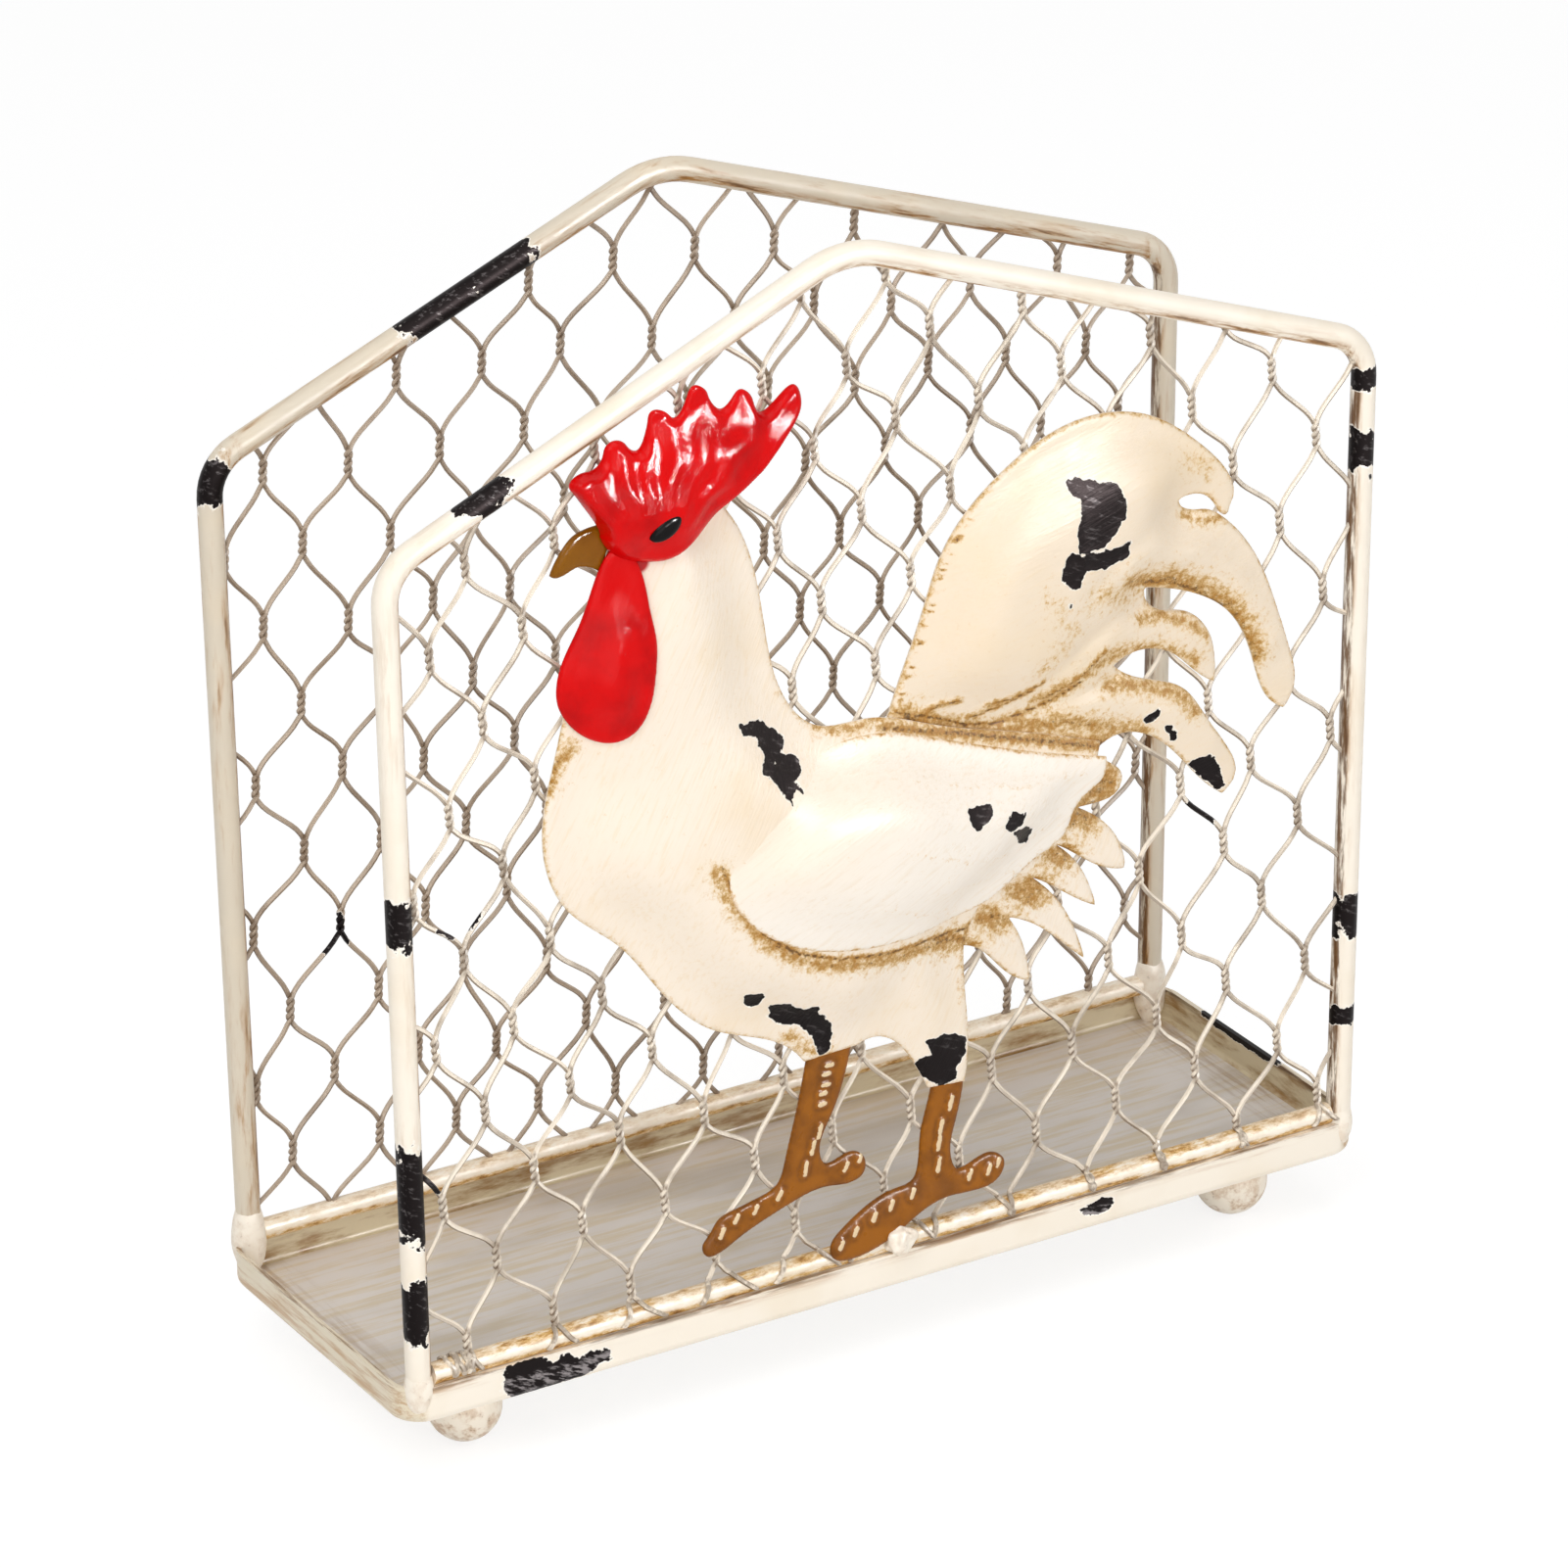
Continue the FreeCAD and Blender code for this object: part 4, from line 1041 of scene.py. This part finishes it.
# Raised dashes on the shanks, above them and along the toes: places, and half a dash along and up
leg_dashes = (
    (((-14.2, 42.8), (-15.5, 40.3), (-16.8, 36.9), (9.8, 41.3), (8.0, 37.6), (7.6, 34.8), (7.5, 31.1)),
     (0.22, 0.95)),
    (((-12.4, 53.8), (-12.9, 52.4), (-13.0, 50.6), (-13.6, 49.2), (-13.7, 47.4)), (0.45, 0.0)),
    (((-9.5, 35.3), (-6.8, 36.2), (-21.6, 33.6), (-25.9, 32.4), (-29.4, 31.7), (-32.1, 30.0), (13.1, 28.0),
      (16.6, 27.9), (18.4, 28.6), (2.4, 27.6), (-1.6, 26.7), (-4.8, 25.6), (-8.4, 24.1), (-11.1, 22.4)),
     (0.30, 0.55)),
)


def tail_detail(x, z, depth):
    """Sickle feathers: grooves and soft ridges, gold in the hollows and ticks down one edge."""
    pressed = ([(line, 1.5, -0.5) for line in tail_grooves[:2]] + [(tail_grooves[2], 1.8, -0.35)]
               + [(line, 3.0, 0.6) for line in tail_ridges] + [(line, 0.5, 0.34) for line in tail_barbs])
    forward = np.maximum(furrows(x, z, pressed), -0.45) - rolled_rim(depth, 1.1, 0.45)
    stain = strokes(x, z, tail_gold + tuple((line, 0.8, 0.92) for line in tail_barbs))
    waves = np.sin(z * 4.2 + 2.5 * np.sin(z * 0.9)) + 0.5 * np.sin(z * 1.3)
    ticks = np.clip(waves, 0, 1) * np.exp(-((depth - 0.9) / 0.7) ** 2)
    stain = np.maximum(stain, 0.95 * ticks * ((x < 20) & (z > 108) & (z < 140)))
    stain = np.maximum(stain, edge_fade(depth, 0.6, 0.55))
    forward, bare = sink_chips(forward, x, z, tail_chips)
    return {"forward": forward, "wash": stain, "chip": bare}


def body_detail(x, z, depth):
    """Body: rounded edges, brown under the wing that is wash and painted shadow of the wing, brown under the
    wattle and round the thighs, red at the wattle's neck.
    """
    stain = np.maximum(strokes(x, z, body_gold), edge_fade(depth, 0.6, 0.50))
    forward, bare = sink_chips(-rolled_rim(depth, 1.4, 0.5), x, z, body_chips)
    red = np.clip(1.2 - line_gap(x, z, wattle_join) / 3.2, 0, 1)
    return {"forward": forward, "wash": stain, "chip": bare, "red": red}


def wing_detail(x, z, depth):
    """Wing: its pale shoulder runs into the body, its lower edge stands proud, its tip has faint ridges."""
    shoulder = smooth(ramp(x, -6.0, -20.0) * ramp(z, 88.0, 98.0))
    ridges = furrows(x, z, [(line, 1.3, 0.24) for line in wing_ridges])
    forward = ridges * ramp(depth, 0.0, 3.0) - 0.26 - rolled_rim(depth, 1.6, 0.45) * (1 - shoulder)
    forward = forward - shoulder * edge_fade(depth, 7.0, 0.82)
    stain = strokes(x, z, [(line, 0.6, 0.22) for line in wing_ridges])
    stain = np.maximum(stain, edge_fade(depth, 0.55, 0.6) * (1 - shoulder))
    forward, bare = sink_chips(forward, x, z, wing_chips)
    near = ramp(x, 10.0, -24.0) * ramp(z, 82.0, 98.0)
    return {"forward": forward, "wash": stain, "chip": bare, "pale": 1 - smooth(near)}


def fan_detail(x, z, depth):
    """Fan of feather tips: a raised middle on each and brown between them."""
    forward = furrows(x, z, [(line, 1.5, 0.5) for line in fan_middles]) - rolled_rim(depth, 1.0, 0.45)
    away = np.minimum.reduce([line_gap(x, z, line) for line in fan_middles])
    root = 0.78 * np.clip(1.3 - line_gap(x, z, fan_root) / 5.5, 0, 1) * np.clip(away / 1.8, 0.55, 1)
    stain = np.maximum(edge_fade(depth, 0.6, 0.55), root)
    stain = np.maximum(stain, strokes(x, z, [wing_tip_gold]))
    return {"forward": forward, "wash": stain, "chip": np.full(x.shape, NO_CHIP)}


def smooth_detail(x, z, depth):
    """Plain pressed piece with a rolled edge."""
    return {"forward": -rolled_rim(depth, 1.2, 0.5)}


def wattle_detail(x, z, depth):
    """Wattle: a rounded drop whose neck runs up under the face."""
    neck = ramp(z, 138.0, 146.7)
    moved = np.stack([np.zeros(x.shape), neck_reach * neck * neck])
    return {"forward": -rolled_rim(depth, 1.4, 0.5), "moved": moved}


def comb_swell(x, z):
    """How far the comb stands forward: most across the cheek, falling away to its points."""
    height = z - 0.12 * (x + 40.0)
    return comb_reach * smooth(ramp(height, 144.0, 155.0)) * ramp(height, 168.5, 156.0)


def plump_points(x, z):
    """Sideways shift that makes the comb's points blunt and full."""
    shift = np.zeros((2, *x.shape))
    for px, pz in comb_points:
        down = np.array((comb_root[0] - px, comb_root[1] - pz))
        down = down / np.hypot(*down)
        along = (x - px) * down[0] + (z - pz) * down[1]
        across = (x - px) * down[1] - (z - pz) * down[0]
        near = np.exp(-(along / 1.5) ** 2 - (across / 2.2) ** 2)
        shift = shift + 0.7 * near * across * np.array((down[1], -down[0])).reshape(2, 1)
    return shift


def comb_detail(x, z, depth):
    """Comb: swells over the cheek, with folds that fan out to its points."""
    angle = np.arctan2(z - comb_root[1], x - comb_root[0])
    reach = np.hypot(x - comb_root[0], z - comb_root[1])
    folds = 0.15 * np.sin(angle * 26.0 + 0.6 * np.sin(reach * 0.8)) * ramp(reach, 8.0, 14.0)
    edge = ramp(depth, 0.0, 1.2)
    forward = (folds + comb_swell(x, z)) * edge * (2 - edge) - rolled_rim(depth, 1.3, 0.5)
    return {"forward": forward, "moved": plump_points(x, z)}


def eye_detail(x, z, depth):
    """Eye: a dot that sits on the swell of the comb, moved to where the camera still sees it in place."""
    out = float(comb_swell(x.mean(), z.mean()))
    shift = np.stack([np.full(x.shape, -0.6 * out), np.full(x.shape, 0.39 * out)])
    return {"forward": out - rolled_rim(depth, 1.2, 0.5), "moved": shift}


def leg_detail(x, z, depth):
    """Leg: short raised dashes down the shank and along the toes, with painted highlights on them."""
    forward = -rolled_rim(depth, 1.0, 0.45)
    hollow = np.zeros(x.shape)
    wear_and_painted_light = np.zeros(x.shape)
    for places, (dx, dz) in leg_dashes:
        for px, pz in places:
            gap = line_gap(x, z, ((px - dx, pz - dz), (px + dx, pz + dz))) / 0.55
            forward = forward + 0.30 * np.exp(-gap ** 4)
            hollow = np.maximum(hollow, np.exp(-((gap - 1.9) / 0.7) ** 2))
            # Painted highlight on the top of each dash.
            wear_and_painted_light = np.maximum(wear_and_painted_light, np.exp(-gap ** 2))
    stain = np.maximum(0.7 * hollow, edge_fade(depth, 0.7, 0.7))
    return {"forward": forward, "wash": stain, "wear_and_painted_light": wear_and_painted_light}


cream_coat = rooster_paint("rooster_cream", CREAM_ROOSTER, OCHRE_TINT, 0.5)
tail_coat = rooster_paint("rooster_tail_cream", CREAM_TAIL, OCHRE_TINT, 1.3)
wing_coat = rooster_paint("rooster_wing_cream", CREAM_ROOSTER, WING_TINT, 1.1)
red_coat = enamel("red_enamel", RED_ENAMEL, RED_DEEP, 0.45, 0.10, 0.09)
leg_coat = leg_paint("leg_ochre")
beak_coat = enamel("beak_brown", BEAK_BROWN, LEG_DARK, 0.9, 0.16, 0.04)
eye_coat = enamel("eye_black", EYE_BLACK, EYE_BLACK, 0.0, 0.15, 0.02)

# Each sheet's piece and CAD node, its grid and thickness in millimetres, its detail, coat and slot
stamped_sheets = (
    ("rooster_tail_sheet", "rooster_tail", 0.45, 0.8, tail_detail, tail_coat, "rooster_paint"),
    ("rooster_feather_fan", "rooster_wing_feathers", 0.45, 0.8, fan_detail, cream_coat, "rooster_paint"),
    ("rooster_body_sheet", "rooster_body", 0.5, 0.8, body_detail, cream_coat, "rooster_paint"),
    ("rooster_wing_sheet", "rooster_wing", 0.45, 0.8, wing_detail, wing_coat, "rooster_paint"),
    ("rooster_comb_sheet", "rooster_comb", 0.3, 0.8, comb_detail, red_coat, "red_enamel"),
    ("rooster_wattle_drop", "rooster_wattle", 0.3, 0.8, wattle_detail, red_coat, "red_enamel"),
    ("rooster_beak_sheet", "rooster_beak", 0.3, 0.8, smooth_detail, beak_coat, "ochre_paint"),
    ("rooster_eye_dot", "rooster_eye", 0.2, 0.6, eye_detail, eye_coat, "black_paint"),
    ("rooster_left_leg_sheet", "rooster_left_leg", 0.25, 0.8, leg_detail, leg_coat, "ochre_paint"),
    ("rooster_right_leg_sheet", "rooster_right_leg", 0.25, 0.8, leg_detail, leg_coat, "ochre_paint"),
)
for sheet_values in stamped_sheets:
    stamped_piece(*sheet_values)


# Studio: floor, light and the camera at the photograph's angle
floor_reach = 6.0
floor_lit = 0.9
floor_shadowed = 0.32
floor_glow = 0.78
world_light = 0.5
mid_depth = (front_mid + rear_mid) / 2
lamp_aim = Vector((0.0, mid_depth, 90.0)) * MM
# Softboxes: azimuth and elevation in degrees, distance and size in metres, watts
softboxes = {
    "key": (-55, 48, 0.9, 0.45, 2.3),
    "fill": (-22, 6, 0.9, 0.6, 1.65),
    "sparkle": (3, 12, 0.9, 0.14, 1.0),
    "top": (20, 80, 0.9, 0.5, 1.4),
}
gleam = (21, 22, 0.92, 0.12, 17.0)


def background_share(tree):
    """One for what the camera sees directly, in gloss or through glass, zero for light on the object."""
    path = tree.nodes.new("ShaderNodeLightPath")
    most = path.outputs["Is Camera Ray"]
    for other in ("Is Glossy Ray", "Is Transmission Ray"):
        larger = tree.nodes.new("ShaderNodeMath")
        larger.operation = "MAXIMUM"
        tree.links.new(most, larger.inputs[0])
        tree.links.new(path.outputs[other], larger.inputs[1])
        most = larger.outputs[0]
    return most


def grey_shader(tree, kind, grey):
    """A shader of one even grey."""
    node = tree.nodes.new(kind)
    node.inputs["Color"].default_value = (grey, grey, grey, 1.0)
    return node


def show_background(tree, light, seen, output):
    """One shader for the light on the object and another for what is seen of the background."""
    pick = tree.nodes.new("ShaderNodeMixShader")
    out = tree.nodes.new(output)
    for index, socket in enumerate((background_share(tree), light.outputs[0], seen.outputs[0])):
        tree.links.new(socket, pick.inputs[index])
    tree.links.new(pick.outputs[0], out.inputs["Surface"])


def make_floor():
    """Pale floor that the camera sees as white, with the object's soft shadow on it."""
    floor = bmesh.new()
    bmesh.ops.create_grid(floor, x_segments=1, y_segments=1, size=floor_reach)
    mesh = bpy.data.meshes.new("floor")
    floor.to_mesh(mesh)
    floor.free()
    material = bpy.data.materials.new("floor_white")
    material.use_nodes = True
    tree = material.node_tree
    tree.nodes.clear()
    seen = tree.nodes.new("ShaderNodeAddShader")
    tree.links.new(grey_shader(tree, "ShaderNodeBsdfDiffuse", floor_shadowed).outputs[0], seen.inputs[0])
    tree.links.new(grey_shader(tree, "ShaderNodeEmission", floor_glow).outputs[0], seen.inputs[1])
    lit = grey_shader(tree, "ShaderNodeBsdfDiffuse", floor_lit)
    show_background(tree, lit, seen, "ShaderNodeOutputMaterial")
    mesh.materials.append(material)
    piece = bpy.data.objects.new("floor", mesh)
    bpy.context.scene.collection.objects.link(piece)


def make_world():
    """White surroundings, dimmer as light than as background."""
    world = bpy.data.worlds.new("studio")
    bpy.context.scene.world = world
    world.use_nodes = True
    tree = world.node_tree
    tree.nodes.clear()
    light = grey_shader(tree, "ShaderNodeBackground", 1.0)
    light.inputs["Strength"].default_value = world_light
    white = grey_shader(tree, "ShaderNodeBackground", 1.0)
    show_background(tree, light, white, "ShaderNodeOutputWorld")


def direction(azimuth, elevation):
    """Unit vector from the object towards a viewer or a lamp."""
    a, e = math.radians(azimuth), math.radians(elevation)
    return Vector((math.sin(a) * math.cos(e), -math.cos(a) * math.cos(e), math.sin(e)))


def make_lamp(name, azimuth, elevation, distance, size, watts, only_gloss=False):
    """Square softbox that faces the object; one that is only for gloss shows in shiny paint alone."""
    lamp = bpy.data.lights.new(name, "AREA")
    lamp.shape = "SQUARE"
    lamp.size = size
    lamp.energy = watts
    away = direction(azimuth, elevation)
    facing = away.to_track_quat("Z", "Y").to_matrix().to_4x4()
    box = bpy.data.objects.new(name, lamp)
    box.matrix_world = Matrix.Translation(lamp_aim + away * distance) @ facing
    bpy.context.scene.collection.objects.link(box)
    box.visible_diffuse = not only_gloss


def make_camera():
    """Long lens at the photograph's angle, worked out from the hoops and the tray."""
    image_width = 1601
    focal_pixels = 8124.4433
    distance = 1243.9181 * MM
    azimuth, elevation = -30.86, 24.5984
    roll = math.radians(-0.514)
    away = direction(azimuth, elevation)
    level = Vector((math.cos(math.radians(azimuth)), math.sin(math.radians(azimuth)), 0.0))
    upright = away.cross(level)
    right = math.cos(roll) * level + math.sin(roll) * upright
    up = -math.sin(roll) * level + math.cos(roll) * upright
    aim = Vector((-2.5718, mid_depth, 87.8379)) * MM
    lens = bpy.data.cameras.new("camera")
    lens.sensor_width = 36.0
    lens.lens = focal_pixels / image_width * lens.sensor_width
    lens.clip_start = 0.05
    camera = bpy.data.objects.new("camera", lens)
    facing = Matrix((right, up, away)).transposed().to_4x4()
    camera.matrix_world = Matrix.Translation(aim + away * distance) @ facing
    bpy.context.scene.collection.objects.link(camera)
    bpy.context.scene.camera = camera


make_floor()
make_world()
for lamp_name, placing in softboxes.items():
    make_lamp(lamp_name, *placing)
make_lamp("gleam", *gleam, only_gloss=True)
make_camera()
bpy.context.scene.view_settings.view_transform = "Standard"
